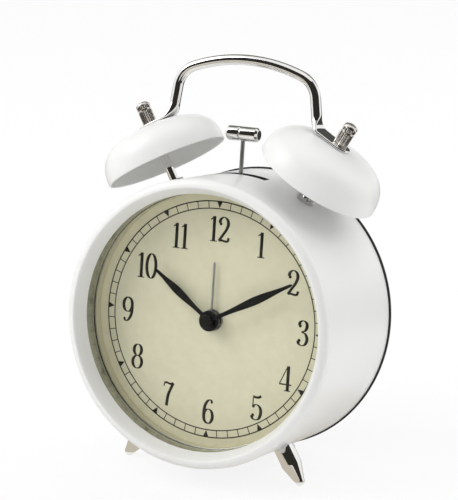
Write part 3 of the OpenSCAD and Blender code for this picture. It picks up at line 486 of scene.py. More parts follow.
six = [pen([[0.415, 0.905], [0.33, 0.965], [0.22, 0.9], [0.115, 0.7], [0.085, 0.42], [0.12, 0.14],
            [0.265, 0.02]]),
       oval(0.275, 0.305, 0.19, 0.285), ball(0.405, 0.875, 0.05)]
figures = {
    "0": (0.55, [oval(0.275, 0.5, 0.2, 0.482)]),
    "1": (0.36, [*stem(0.2, 0.05, 0.35), pen([[0.045, 0.845], [0.11, 0.885], [0.19, 0.965]], 0.03, 0.02)]),
    "2": (0.55, [ball(0.125, 0.715),
                 pen([[0.075, 0.74], [0.12, 0.9], [0.26, 0.982], [0.40, 0.9], [0.445, 0.73], [0.38, 0.52],
                      [0.22, 0.27], [0.07, 0.05]]),
                 pen([[0.06, 0.06], [0.2, 0.075], [0.36, 0.05], [0.455, 0.075], [0.49, 0.2]], 0.05, 0.042)]),
    "3": (0.53, [ball(0.12, 0.77),
                 pen([[0.07, 0.79], [0.12, 0.92], [0.24, 0.982], [0.37, 0.915], [0.405, 0.77], [0.34, 0.61],
                      [0.19, 0.535]]),
                 pen([[0.19, 0.54], [0.36, 0.47], [0.435, 0.27], [0.36, 0.075], [0.22, 0.018], [0.1, 0.07],
                      [0.055, 0.19]]),
                 ball(0.105, 0.205)]),
    "4": (0.56, [*stem(0.375, 0.23, 0.5), strip([[0.34, 0.96], [0.185, 0.62], [0.03, 0.275]], 0.02),
                 strip([[0.02, 0.262], [0.28, 0.262], [0.53, 0.262]], 0.026)]),
    "5": (0.53, [pen([[0.1, 0.96], [0.09, 0.75], [0.085, 0.5]], 0.022, 0.02),
                 pen([[0.09, 0.93], [0.2, 0.9], [0.34, 0.92], [0.42, 0.985]], 0.05, 0.045),
                 pen([[0.085, 0.5], [0.15, 0.59], [0.27, 0.615], [0.4, 0.51], [0.44, 0.31], [0.37, 0.09],
                      [0.23, 0.018], [0.1, 0.07], [0.055, 0.18]]),
                 ball(0.105, 0.195)]),
    "6": (0.55, six),
    "7": (0.53, [pen([[0.055, 0.79], [0.08, 0.88], [0.14, 0.93]], 0.025, 0.02),
                 pen([[0.06, 0.91], [0.18, 0.945], [0.32, 0.905], [0.47, 0.95]], 0.05, 0.04),
                 pen([[0.47, 0.95], [0.35, 0.68], [0.26, 0.42], [0.215, 0.02]], 0.062, 0.02)]),
    "8": (0.55, [oval(0.275, 0.755, 0.165, 0.225), oval(0.275, 0.275, 0.2, 0.255)]),
    "9": (0.55, [np.array([0.55, 1.0]) - stroke for stroke in six]),
}
numeral_places = {"12": (0.6, 31.0), "1": (16.2, 27.5), "2": (28.9, 16.3), "3": (33.7, 0.0),
                  "4": (28.4, -16.0), "5": (18.5, -27.5), "6": (0.4, -31.5), "7": (-15.3, -27.7),
                  "8": (-28.0, -16.4), "9": (-32.8, -0.6), "10": (-26.2, 15.4), "11": (-14.2, 27.1)}


def numeral(digits, middle):
    """Strokes of a numeral in millimetres, its figures side by side about the middle."""
    widths = [figures[digit][0] for digit in digits]
    starts = np.cumsum([0.0] + widths[:-1]) - sum(widths) / 2
    return [FIGURE_H * (stroke + [start, -0.5]) + middle
            for digit, start in zip(digits, starts) for stroke in figures[digit][1]]


def net_of(points, polygons, merge, wanted):
    """Constrained Delaunay net of flat polygons: its points, and those of its triangles whose list of
    source polygons is wanted."""
    net = geometry.delaunay_2d_cdt(points.tolist(), [], polygons, 0, merge)
    return np.array(net[0]), [face for face, sources in zip(net[2], net[5]) if wanted(sources)]


round_way = to_hour(np.linspace(0, 2 * np.pi, 361))
minute = to_hour(np.radians(6.0 * np.arange(60)))
aside = minute[:, ::-1] * [1, -1]


def minute_marks(outer_half, inner_r, inner_half):
    """Quads at every minute from the track's outer line in to a radius, with the half widths there."""
    return np.stack([TRACK_OUT * minute + outer_half * aside, TRACK_OUT * minute - outer_half * aside,
                     inner_r * minute - inner_half * aside, inner_r * minute + inner_half * aside], 1)


strokes = [band((radius + half) * round_way, (radius - half) * round_way)
           for radius, half in TRACK_HALF.items()]
strokes += [minute_marks(TICK_HALF, TRACK_IN, TICK_HALF)[np.arange(60) % 5 > 0],
            minute_marks(DART_HALF, *DART_TIP)[::5]]
for digits, middle in numeral_places.items():
    strokes += numeral(digits, np.array(middle))
print_quads = np.concatenate(strokes)
ahead = np.roll(print_quads, -1, 1)
signed_area = (print_quads[..., 0] * ahead[..., 1] - ahead[..., 0] * print_quads[..., 1]).sum(1)
print_quads = np.where(signed_area[:, None, None] < 0, print_quads[:, ::-1], print_quads)

print_corners = np.arange(4 * len(print_quads)).reshape(-1, 4).tolist()
ink_places, inked = net_of(print_quads.reshape(-1, 2), print_corners, 1e-4, bool)
dial_print = piece_of("dial_print", points_of(*ink_places.T, INK_Z), inked, ink_black, "case")
ink_layer = dial_print.modifiers.new("ink", "SOLIDIFY")
ink_layer.thickness = MM * INK_T
ink_layer.offset = 0

# Hands: leaf blades stamped from thin sheet and painted black, pressed by their bosses on the
# hour tube and the minute arbor, and a plain grey stick for the alarm.
HAND_T = 0.35
BLADE_POWER = 0.3
HOUR_Z = 2.7625
MINUTE_Z = 4.425
ALARM_Z = 1.1
HOUR_DEG = 305.15
MINUTE_DEG = 61.8
HOUR_LEN = 26.0
MINUTE_LEN = 34.6
ALARM_LEN = 19.8
HOUR_BOSS_R = 3.5
MINUTE_CAP_R = 2.3
ALARM_BOSS_R = 3.2
HOUR_TUBE_R = 1.8
ALARM_TUBE_R = 2.4
ARBOR_END_R = 1.05
LEAF_AT = [0.0, 0.2, 0.58, 0.95, 0.985, 1.0]
LEAF_HALF = [0.72, 0.72, 1.4, 0.56, 0.45, 0.2]
STICK_AT = [0.0, 0.97, 1.0]
STICK_HALF = [0.35, 0.35, 0.2]
SMALL_STEPS = 96
hand_black = finish_of("hand_black", grain, 4000.0, (0.009, 0.0085, 0.008), (0.014, 0.0135, 0.0125),
                       (0.4, 0.52), (0.00001, 0.12), specular=0.22)
hand_grey = finish_of("hand_grey", grain, 4000.0, (0.30, 0.30, 0.285), (0.36, 0.36, 0.34),
                      (0.35, 0.5), (0.00001, 0.1), metallic=0.4)


def clockwise(points, degrees):
    """Turns points of the dial's frame clockwise about the dial's axis."""
    angle = np.radians(degrees)
    x, y, z = np.moveaxis(points, -1, 0)
    return points_of(x * np.cos(angle) + y * np.sin(angle), y * np.cos(angle) - x * np.sin(angle), z)


def smooth(t):
    """Step from 0 to 1 that starts and ends level."""
    return t * t * (3 - 2 * t)


def capped(grid, both=True):
    """Grid of loops whose last loop, and whose first if both, is drawn to its middle."""
    middle = np.broadcast_to(grid.mean(1, keepdims=True), grid.shape)
    return np.concatenate([middle[:int(both)], grid, middle[-1:]])


def blade(length, stations, half_widths, floor_z, start, rows=64, columns=24):
    """Flat blade to twelve: its half width eases from station to station, its section is a rounded
    rectangle (a superellipse of high power), and it closes to a point at both ends."""
    at = np.linspace(start, length, rows)
    place = np.clip(np.searchsorted(stations, at / length, side="right") - 1, 0, len(stations) - 2)
    low, high = np.take(stations, place), np.take(stations, place + 1)
    step = smooth(np.clip((at / length - low) / (high - low), 0, 1))
    half = np.take(half_widths, place) * (1 - step) + np.take(half_widths, place + 1) * step
    corner = way(all_round(columns))
    across, up = (np.sign(corner) * np.abs(corner) ** BLADE_POWER).T
    return capped(points_of(half[:, None] * across, at[:, None], floor_z + HAND_T / 2 * (1 + up)))


hour_boss = eased([[HOUR_TUBE_R, HOUR_Z - 0.2], [HOUR_BOSS_R, HOUR_Z - 0.2], [HOUR_BOSS_R, HOUR_Z + 0.8],
                   [ARBOR_END_R, HOUR_Z + 0.8], [ARBOR_END_R, HOUR_Z + 0.55], [HOUR_TUBE_R, HOUR_Z + 0.55]],
                  reach=0.16)
hour_leaf = clockwise(blade(HOUR_LEN, LEAF_AT, LEAF_HALF, HOUR_Z, start=2.6), HOUR_DEG)
hour_hand = skin("hour_blade", [(hour_leaf, LOFT), (turned(hour_boss, SMALL_STEPS), HOOP)],
                 hand_black, "hour_works")
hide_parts("hour_hand")
minute_cap = eased([[0.0, MINUTE_Z + 0.55], [ARBOR_END_R, MINUTE_Z + 0.55], [ARBOR_END_R, MINUTE_Z - 0.2],
                    [MINUTE_CAP_R, MINUTE_Z - 0.2], [MINUTE_CAP_R, MINUTE_Z + 1.2], [0.0, MINUTE_Z + 1.2]],
                   reach=0.22, closed=False)
minute_leaf = clockwise(blade(MINUTE_LEN, LEAF_AT, LEAF_HALF, MINUTE_Z, start=1.6), MINUTE_DEG)
minute_hand = skin("minute_blade", [(minute_leaf, LOFT), (turned(minute_cap, SMALL_STEPS), SPUN)],
                   hand_black, "minute_works")
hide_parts("minute_hand")
alarm_boss = washer(ALARM_TUBE_R, ALARM_BOSS_R, ALARM_Z, ALARM_Z + HAND_T, reach=0.08)
alarm_stick = blade(ALARM_LEN, STICK_AT, STICK_HALF, ALARM_Z, start=2.6)
alarm_hand = skin("alarm_stick", [(alarm_stick, LOFT), (turned(alarm_boss, SMALL_STEPS), HOOP)],
                  hand_grey, "alarm_works")
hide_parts("alarm_hand")

# Bells: two cups pressed from steel sheet and sprayed with the case, open below, each clamped
# by its crown between the post's shoulder and the end of the handle.
SIDES = {"left": -1, "right": 1}
BELL_R = 21.6
BELL_H = 13.8
BELL_POWER = 2.8
BELL_DEG = 30.0
BELL_STEPS = 200
RIM_RHO = 57.1
POST_R = 1.5
CROWN_HOLE_R = POST_R + 0.1


def on_spoke(points, degrees, depth):
    """Points whose z runs outward from the clock's axis, at an angle clockwise from twelve and a
    depth behind the dial, in the dial's frame."""
    x, y, z = np.moveaxis(points, -1, 0)
    return clockwise(points_of(x, z, -y - depth), degrees)


def on_post(points, side):
    """Points on a bell's post, whose z runs along it from the clock's axis, in the dial's frame."""
    return on_spoke(points, side * BELL_DEG, WORKS_Z)


def bell_wall(inset, start, steps, end=1.545):
    """Superellipse from the rim towards the crown: cosine and sine to the power two over n."""
    return way(np.linspace(start, end, steps)) ** (2 / BELL_POWER) * [BELL_R - inset, BELL_H - inset]


bell_rim = [BELL_R - SHEET / 2, SHEET / 2] - SHEET / 2 * way(np.linspace(0, np.pi, 9))
bell_section = np.concatenate([
    bell_rim, bell_wall(0, start=0.012, steps=60),
    [[CROWN_HOLE_R, BELL_H], [CROWN_HOLE_R, BELL_H - SHEET]],
    bell_wall(SHEET, start=0.014, steps=50)[::-1]])
bell_grid = turned(bell_section + [0, RIM_RHO], BELL_STEPS)
for name, side in SIDES.items():
    bell = skin("bell_cup_" + name, [(on_post(bell_grid, side), HOOP)], white_paint, "case")
    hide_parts("bell_" + name)

# Posts and nuts: plated steel pins through the drum, each locked by a hexagon nut on the paint,
# with a hexagon shoulder under the bell's crown.
PIN_FOOT = 45.32
PIN_STEPS = 64
BELL_TOP = RIM_RHO + BELL_H
TAB_TOP = BELL_TOP + 1.0
POST_END = TAB_TOP + 5.33
HEX_R = 3.5
HEX_T = 1.8
CHAMFER_R = (3.02, 3.3, 3.6)
SHOULDER_T = 2.4
SHOULDER_RHO = BELL_TOP - SHEET - 0.06
bright_chrome = finish_of("bright_chrome", polish, 2200.0, (0.82, 0.815, 0.80), (0.86, 0.855, 0.84),
                          (0.04, 0.07), (0.00001, 0.006), metallic=1.0)
# Lock nut steel, darker than the pins' chrome: partly a duller plating, partly painted shade from the bells
# above.
lock_nut_steel_and_shade = finish_of("lock_nut_steel_and_shade", polish, 2600.0, (0.56, 0.555, 0.54), (0.64, 0.635, 0.62),
                      (0.09, 0.14), (0.00001, 0.05), metallic=1.0)


def hexagon(profile, steps=144):
    """Hexagon bar cut by a turned profile: at each angle the radius is the lesser of the profile's
    and the distance to the hexagon's flat."""
    points = turned(profile, steps)
    flat = HEX_R * np.cos(np.pi / 6) / np.cos((all_round(steps) % (np.pi / 3)) - np.pi / 6)
    radius = np.linalg.norm(points[..., :2], axis=-1)
    points[..., :2] *= np.minimum(1, flat[:, None] / radius)[..., None]
    return points


def chamfered(low, high, depths):
    """Profile of a hexagon's outside with a chamfer at both ends, from depths below the ends."""
    return np.concatenate([points_of(CHAMFER_R, low + np.array(depths)),
                           points_of(CHAMFER_R, high - np.array(depths))[::-1]])


nut_section = np.concatenate([
    [[POST_R, 0.0]], chamfered(0.0, HEX_T, [0.0, 0.12, 0.32]),
    [[2.0, HEX_T], [POST_R + 0.25, HEX_T], [POST_R, HEX_T - 0.25]]])
nut_grid = hexagon(nut_section + [0, DRUM_R])
drum_nuts = skin("drum_lock_nuts", [(on_post(nut_grid, side), HOOP) for side in SIDES.values()],
                 lock_nut_steel_and_shade, "case", sharp_deg=30)
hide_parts("drum_nuts")
shoulder_section = np.concatenate([
    [[POST_R, -SHOULDER_T]], chamfered(-SHOULDER_T, 0.0, [0.0, 0.12, 0.3]), [[POST_R, 0.0]]])
shoulder_grid = hexagon(shoulder_section + [0, SHOULDER_RHO])
pin_grid = turned(eased([[0.0, PIN_FOOT], [POST_R, PIN_FOOT], [POST_R, POST_END], [0.0, POST_END]],
                        reach=0.25, closed=False), PIN_STEPS)
for name, side in SIDES.items():
    post = skin("bell_pin_" + name, [(on_post(pin_grid, side), SPUN), (on_post(shoulder_grid, side), HOOP)],
                bright_chrome, "case", sharp_deg=30)
    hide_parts("post_" + name)

# Thumb nuts: turned from bar with a straight knurl, a waist groove and a domed top, plated.
# They screw down on the posts and clamp the handle's flattened ends.
THUMB_R = 2.5
THUMB_H = 8.2
GROOVE_Z = 4.8
CAP_H = 1.45
FLUTES = 24
FLUTE_STEPS = 8
FLUTE_DEPTH = 0.2
nut_bright = finish_of("nut_bright", polish, 2600.0, (0.7, 0.66, 0.615), (0.78, 0.74, 0.695),
                       (0.2, 0.28), (0.00001, 0.06), metallic=1.0)
thumb_line = np.concatenate([
    [[0.0, 0.0], [THUMB_R - 0.25, 0.0], [THUMB_R, 0.25]],
    points_of(THUMB_R, np.linspace(0.5, GROOVE_Z - 0.15, 16)),
    [[THUMB_R - 0.02, GROOVE_Z], [THUMB_R - 0.4, GROOVE_Z + 0.1], [THUMB_R - 0.42, GROOVE_Z + 0.35],
     [THUMB_R - 0.4, GROOVE_Z + 0.6], [THUMB_R - 0.02, GROOVE_Z + 0.7]],
    points_of(THUMB_R, np.linspace(GROOVE_Z + 0.85, THUMB_H - CAP_H - 0.15, 6))])
cap_way = way(np.linspace(0.12, np.pi / 2, 12))
thumb_cap = points_of((THUMB_R - 0.05) * cap_way[:, 0] ** 0.8, THUMB_H - CAP_H + CAP_H * cap_way[:, 1])
thumb_section = np.concatenate([thumb_line, thumb_cap])
thumb_grid = turned(thumb_section + [0, TAB_TOP], FLUTES * FLUTE_STEPS)
flute_phase = np.abs((np.arange(FLUTES * FLUTE_STEPS) / FLUTE_STEPS) % 1 - 0.5) * 2
knurled = (thumb_section[:, 1] > 0.2) & (thumb_section[:, 0] > THUMB_R - 0.06)
thumb_grid[..., :2] *= (1 - flute_phase[:, None] * knurled * FLUTE_DEPTH / THUMB_R)[..., None]
for name, side in SIDES.items():
    thumb = skin("thumb_nut_cap_" + name, [(on_post(thumb_grid, side), SPUN)],
                 nut_bright, "case", sharp_deg=35)
    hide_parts("thumb_nut_" + name)

# Handle: one steel rod bent to a bow, its two ends pressed flat and drilled for the posts,
# polished and plated. It is clamped on the bells under the thumb nuts.
ROD_R = 1.8
ROD_SIDES = 64
HANDLE_TOP = 87.4
BOW_R = 58.0
BOW_DEG = 20.5
UPPER_R = 8.8
UPRIGHT_DEG = 8.0
LOWER_R = 6.0
TAB_HALF = 4.0
TAB_T = 1.0
TIP_DEG = 82.8
BOW_STEPS = 48
BEND_STEPS = 30
STRAIGHT_STEPS = 8
TIP_STEPS = 14


def on_arc(start, heading, radius, degrees):
    """Points of an arc that leaves a start along a heading, where it has turned by the given degrees,
    left if positive."""
    first, last = np.radians(heading), np.radians(heading + np.asarray(degrees))
    offset = points_of(np.sin(last) - np.sin(first), np.cos(first) - np.cos(last))
    return start + radius * np.sign(degrees)[..., None] * offset


def bend(start, heading, radius, degrees, steps):
    """Points and headings along such an arc, without its end."""
    turn = degrees * np.linspace(0, 1, steps, endpoint=False)
    return on_arc(start, heading, radius, turn), heading + turn


top = np.array([0.0, HANDLE_TOP])
fall = UPRIGHT_DEG - 90
bow_end = on_arc(top, 0, BOW_R, -BOW_DEG)
upper_end = on_arc(bow_end, -BOW_DEG, UPPER_R, fall + BOW_DEG)
down = way(np.radians(fall))
bell_way = to_hour(np.radians(BELL_DEG))
tab_way = way(np.radians(-BELL_DEG))
lower = on_arc([0.0, 0.0], fall, LOWER_R, -BELL_DEG - fall)
upright = (BELL_TOP + ROD_R - (upper_end + lower) @ bell_way) / (down @ bell_way)
upright_end = upper_end + upright * down
tab_start = upright_end + lower
tab_length = -tab_start @ tab_way
straight = np.linspace(0, 1, STRAIGHT_STEPS, endpoint=False)[:, None]
tip = np.radians(np.linspace(0, TIP_DEG, TIP_STEPS))[:, None]
legs = [bend(top, 0, BOW_R, -BOW_DEG, BOW_STEPS),
        bend(bow_end, -BOW_DEG, UPPER_R, fall + BOW_DEG, BEND_STEPS),
        (upper_end + straight * upright * down, np.full(STRAIGHT_STEPS, fall)),
        bend(upright_end, fall, LOWER_R, -BELL_DEG - fall, BEND_STEPS),
        (tab_start + straight * tab_length * tab_way, np.full(STRAIGHT_STEPS, -BELL_DEG)),
        (tab_start + (tab_length + TAB_HALF * np.sin(tip)) * tab_way, np.full(TIP_STEPS, -BELL_DEG))]
rod_line = np.concatenate([points for points, _ in legs])
rod_heading = np.radians(np.concatenate([headings for _, headings in legs]))[:, None]
pressing = smooth(np.linspace(0, 1, BEND_STEPS, endpoint=False))[:, None]
flatness = np.concatenate([np.zeros((BOW_STEPS + BEND_STEPS + STRAIGHT_STEPS, 1)), pressing,
                           np.ones((STRAIGHT_STEPS + TIP_STEPS, 1))])
closing = np.concatenate([np.ones((len(rod_line) - TIP_STEPS, 1)), np.cos(tip)])
half_t = ROD_R + (TAB_T / 2 - ROD_R) * flatness
half_w = np.maximum((ROD_R + (TAB_HALF - ROD_R) * flatness) * closing, half_t)
rod_way = way((np.arange(ROD_SIDES) + 0.5) * 2 * np.pi / ROD_SIDES)
corner = half_t / np.cos(np.pi / ROD_SIDES)
rise = corner * rod_way[:, 0] + half_t - ROD_R
deep = corner * rod_way[:, 1] + np.sign(rod_way[:, 1]) * (half_w - half_t) - WORKS_Z
half_handle = points_of(rod_line[:, :1] - np.sin(rod_heading) * rise,
                        rod_line[:, 1:] + np.cos(rod_heading) * rise, deep)
whole_handle = np.concatenate([half_handle[:0:-1] * [-1, 1, 1], half_handle])
handle = skin("bow_handle", [(capped(whole_handle), LOFT)], bright_chrome, "case", sharp_deg=50)
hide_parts("handle")

# Hammer: a plated barrel with a turned groove and chamfered ends on a thin steel stem,
# which swings between the bells through the slit of the drum.
HEAD_Y = 62.4
HEAD_R = 2.5
HEAD_HALF = 6.0
HEAD_CHAMFER = 0.8
HEAD_END_R = HEAD_R - HEAD_CHAMFER
barrel = turned(eased([[0.0, -HEAD_HALF], [HEAD_END_R, -HEAD_HALF], [HEAD_R, HEAD_CHAMFER - HEAD_HALF],
                       [HEAD_R, -1.25], [HEAD_R - 0.35, -0.9], [HEAD_R, -0.55],
                       [HEAD_R, HEAD_HALF - HEAD_CHAMFER], [HEAD_END_R, HEAD_HALF], [0.0, HEAD_HALF]],
                      reach=0.18, closed=False), SMALL_STEPS)
barrel = barrel[..., [2, 0, 1]] + [0, HEAD_Y, -WORKS_Z]
hammer_head = skin("hammer_barrel", [(barrel, SPUN)], bright_chrome, "hammer", sharp_deg=30)
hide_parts("hammer_head")

# Feet: turned from bar with a straight collar and a tapered leg to a small round tip, plated.
# Each is screwed into the drum from outside and stands on a flat worn at its tip.
FOOT_DEG = 32.4
FOOT_Z = 7.0
FOOT_R = 3.5
FOOT_STRAIGHT = 6.5
FOOT_SEAT = DRUM_R - 0.4
TIP_R = 1.7
TIP_DROP = STAND_Z + 0.15 - TIP_R - FOOT_Z * np.sin(LEAN)
TIP_RHO = TIP_DROP / (np.cos(np.radians(FOOT_DEG)) * np.cos(LEAN))
foot_line = eased([[0.0, PIN_FOOT], [POST_R, PIN_FOOT], [POST_R, FOOT_SEAT], [FOOT_R, FOOT_SEAT],
                   [FOOT_R, DRUM_R + FOOT_STRAIGHT], [TIP_R + 0.12, TIP_RHO - 0.4]],
                  reach=0.3, closed=False)
foot_ball = [0, TIP_RHO] + TIP_R * way(np.linspace(0.1, np.pi / 2, 14))
foot_grid = turned(np.concatenate([foot_line, foot_ball]), SMALL_STEPS)
for name, side in SIDES.items():
    foot = skin("turned_foot_" + name, [(on_spoke(foot_grid, 180 - side * FOOT_DEG, FOOT_Z), SPUN)],
                bright_chrome, "case", sharp_deg=30)
    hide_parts("foot_" + name)

# Back cover: a dish moulded in black plastic with a fine eroded grain, its plug pressed into the drum.
# It has a raised border, the battery bay, the switch's slot, seats for four screws and raised collars.
COVER_R = 49.28
FACE_Z = -38.2
INNER_Z = -36.2
BORDER_R = 43.8
BORDER_Z = FACE_Z - 0.8
PLUG_END = DRUM_BACK + 5.0
PLUG_R = SLEEVE_R - 1.6
KNOB_X = {"time": 10.0, "alarm": -10.8}
KNOB_R = 7.0
ARBOR_R = 1.0
GAP = 0.3
BAY_Y = -24.0
BAY_HALF = np.array([25.6, 7.4])
BAY_REAR = -36.3
BAY_FLOOR = -21.8
BAY_WALL = 1.2
LEDGE = 1.0
SWITCH_Y = 27.0
SLOT_HALF = (5.3, 2.3)
SCREW_PLACES = [(x, y) for x in (-22.0, 22.0) for y in (-10.5, 11.0)]
SCREW_R = 1.1
SCREW_STEPS = 48
HEAD_SEAT_R = 2.3
HEAD_SEAT_Z = FACE_Z + 1.0
COLLAR_R = KNOB_R + 0.9
COLLAR_HALF = 0.45
COLLAR_RISE = 0.5
MARK_SINK = 0.02
MARK_STEPS = 97
FACE_TRIM = 0.5
INNER_TRIM = 0.3
MOUTH_EDGE = [(FACE_TRIM, FACE_Z), (0.28, FACE_Z), (0.12, FACE_Z + 0.04), (0.03, FACE_Z + 0.13),
              (0.0, FACE_Z + 0.28)]
INNER_EDGE = [(0.0, INNER_Z), (INNER_TRIM, INNER_Z)]
black_plastic = finish_of("black_plastic", grain, 5000.0, (0.014, 0.014, 0.0135), (0.022, 0.022, 0.021),
                          (0.46, 0.58), (0.00005, 0.3), specular=0.4)


def circle(x, y, radius, steps=64):
    """Outline of a circle as anticlockwise points, for the amount that its radius grows."""
    return lambda grow: [x, y] + (radius + grow) * way(all_round(steps))


def rounded(x, y, half_x, half_y, corner, steps=8):
    """Outline of a rectangle with round corners as anticlockwise points, for the amount that it grows."""
    angle = np.linspace(0, np.pi / 2, steps) + np.pi / 2 * np.arange(4)[:, None]
    middle = np.array([[1, 1], [-1, 1], [-1, -1], [1, -1]]) * [half_x - corner, half_y - corner]
    return lambda grow: ([x, y] + middle[:, None] + (corner + grow) * way(angle)).reshape(-1, 2)


def lipped(outline, steps, shut=False):
    """Grid of an outline carried through pairs of growth and height, drawn to its middle if shut."""
    grid = np.stack([points_of(*outline(grow).T, height) for grow, height in steps])
    return capped(grid, both=False) if shut else grid


def faced(outer, holes, height):
    """Flat face inside an outer loop and outside the loops of its holes."""
    loops = [outer, *holes]
    starts = np.cumsum([0] + [len(loop) for loop in loops])
    polygons = [list(range(a, b)) for a, b in zip(starts[:-1], starts[1:])]
    places, kept = net_of(np.concatenate(loops), polygons, 1e-6, lambda sources: sources == [0])
    return points_of(*places.T, height), kept


def raised_line(path, half, rise):
    """Half-round line raised on the cover along a flat path of a given half width. Where it narrows to
    nothing, its rise does too."""
    half = np.broadcast_to(half, len(path))[:, None]
    angle = np.linspace(0, np.pi, 9)
    flat = path[:, None] + sideways(path)[:, None] * (half * np.cos(angle))[..., None]
    lift = rise * np.minimum(1, half / (0.5 * rise)) * np.sin(angle)
    return points_of(flat[..., 0], flat[..., 1], FACE_Z + MARK_SINK - lift)


rim_section = eased([[BORDER_R - 0.6, FACE_Z], [BORDER_R - 0.3, FACE_Z], [BORDER_R, FACE_Z],
                     [BORDER_R + 0.5, BORDER_Z], [COVER_R - 1.0, BORDER_Z], [COVER_R, FACE_Z + 0.1],
                     [COVER_R, DRUM_BACK], [SLEEVE_R, DRUM_BACK], [SLEEVE_R, PLUG_END], [PLUG_R, PLUG_END],
                     [PLUG_R, INNER_Z], [PLUG_R - 0.4, INNER_Z]], reach=0.3, closed=False)
bay_mouth = rounded(0, BAY_Y, *(BAY_HALF + LEDGE), corner=0.6)
bay_inside = rounded(0, BAY_Y, *BAY_HALF, corner=0.6)
bay_outside = rounded(0, BAY_Y, *(BAY_HALF + BAY_WALL), corner=0.8)
switch_slot = rounded(0, SWITCH_Y, *SLOT_HALF, corner=0.5)
arbor_holes = [circle(x, 0, ARBOR_R + GAP, SCREW_STEPS) for x in KNOB_X.values()]
head_seats = [circle(x, y, HEAD_SEAT_R + 0.1, SCREW_STEPS) for x, y in SCREW_PLACES]
screw_holes = [circle(x, y, SCREW_R, SCREW_STEPS) for x, y in SCREW_PLACES]
round_mark = way(np.linspace(0, 2 * np.pi, MARK_STEPS))
cover_grids = [lipped(bay_mouth, MOUTH_EDGE + [(0.0, BAY_REAR)]),
               np.concatenate([lipped(bay_mouth, [(0.0, BAY_REAR)]),
                               lipped(bay_inside, [(0.0, BAY_REAR), (0.0, BAY_FLOOR)], shut=True)]),
               lipped(bay_outside, INNER_EDGE[::-1] + [(0.0, BAY_FLOOR + BAY_WALL)], shut=True)]
cover_grids += [lipped(hole, MOUTH_EDGE + INNER_EDGE) for hole in (switch_slot, *arbor_holes)]
cover_grids += [np.concatenate([lipped(seat, MOUTH_EDGE + [(0.0, HEAD_SEAT_Z)]),
                                lipped(hole, [(0.0, HEAD_SEAT_Z)] + INNER_EDGE)])
                for seat, hole in zip(head_seats, screw_holes)]
cover_grids += [raised_line([x, 0] + COLLAR_R * round_mark, COLLAR_HALF, COLLAR_RISE)
                for x in KNOB_X.values()]
mouths = [bay_mouth, switch_slot, *arbor_holes, *head_seats]
inner_mouths = [bay_outside, switch_slot, *arbor_holes, *screw_holes]
cover_flats = []
for (radius, height), holes, trim in ((rim_section[0], mouths, FACE_TRIM),
                                      (rim_section[-1], inner_mouths, INNER_TRIM)):
    edge = circle(0, 0, radius, ROUND_STEPS)
    cover_flats.append(faced(edge(0), [hole(trim) for hole in holes], height))
cover = skin("cover_dish", [(turned(rim_section), SPUN)] + [(grid, LOFT) for grid in cover_grids],
             black_plastic, "case", flats=cover_flats)
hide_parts("back_cover")

# Cover marks: arrows over the knobs and a ring and a bar beside the switch, moulded a little proud
# of the cover and rolled with pale ink.
MARK_X = 11.5
MARK_R = 1.35
MARK_HALF = 0.26
MARK_RISE = COLLAR_RISE / 3
ARROW_R = KNOB_R + 4.0
ARROW_STEPS = 43
BAR_STEPS = 21
mark_ink = finish_of("mark_ink", grain, 5000.0, (0.5, 0.5, 0.49), (0.58, 0.58, 0.57),
                     (0.5, 0.62), (0.00002, 0.2), specular=0.35)
arrow_path = ARROW_R * way(np.radians(np.linspace(52, 128, ARROW_STEPS)))
arrow_half = np.interp(np.arange(ARROW_STEPS), [0, 1, 32, 33, 42], [0.0, MARK_HALF, MARK_HALF, 1.15, 0.0])
bar_path = points_of(MARK_X, SWITCH_Y + np.linspace(-1.6, 1.6, BAR_STEPS))
bar_half = 0.28 * np.sin(np.linspace(0, np.pi, BAR_STEPS)) ** 0.25
mark_grids = [raised_line([x, 0] + arrow_path, arrow_half, MARK_RISE) for x in KNOB_X.values()]
mark_grids += [raised_line([-MARK_X, SWITCH_Y] + MARK_R * round_mark, MARK_HALF, MARK_RISE),
               raised_line(bar_path, bar_half, MARK_RISE)]
skin("cover_marks", [(grid, LOFT) for grid in mark_grids], mark_ink, "case")

# Battery door: a moulded plate that lies flush in the mouth of the bay, with a finger notch
# and a row of grip ribs. It lifts straight off.
DOOR_HALF = BAY_HALF + LEDGE - GAP
DOOR_INNER = FACE_Z + 1.6
NOTCH_R = 5.0
NOTCH_FLOOR = FACE_Z + 0.77
GRIP_X = 4.5 + 1.9 * np.arange(5)
GRIP_RISE = 0.6
door_edge = rounded(0, BAY_Y, *DOOR_HALF, corner=0.5)
notch = circle(0.78 * DOOR_HALF[0], BAY_Y, NOTCH_R)
door_flat = faced(door_edge(-FACE_TRIM), [notch(FACE_TRIM)], FACE_Z)
door_side = lipped(door_edge, [(-FACE_TRIM, FACE_Z), (-0.25, FACE_Z), (-0.1, FACE_Z + 0.04),
                               (-0.02, FACE_Z + 0.12), (0.0, FACE_Z + 0.25), (0.0, DOOR_INNER),
                               (-0.3, DOOR_INNER)], shut=True)
notch_wall = lipped(notch, [(FACE_TRIM, FACE_Z), (0.25, FACE_Z), (0.1, FACE_Z + 0.05), (0.0, FACE_Z + 0.2),
                            (-0.08, NOTCH_FLOOR - 0.2), (-0.25, NOTCH_FLOOR - 0.03),
                            (-0.6, NOTCH_FLOOR)], shut=True)
grip_y = BAY_Y + np.linspace(-4.4, 4.4, BAR_STEPS)
grip_half = 0.5 * np.sin(np.linspace(0, np.pi, BAR_STEPS)) ** 0.3
door_grips = [raised_line(points_of(x, grip_y), grip_half, GRIP_RISE) for x in GRIP_X]
door = skin("bay_door", [(grid, LOFT) for grid in (door_side, notch_wall, *door_grips)],
            black_plastic, "door", flats=[door_flat])
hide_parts("battery_door")

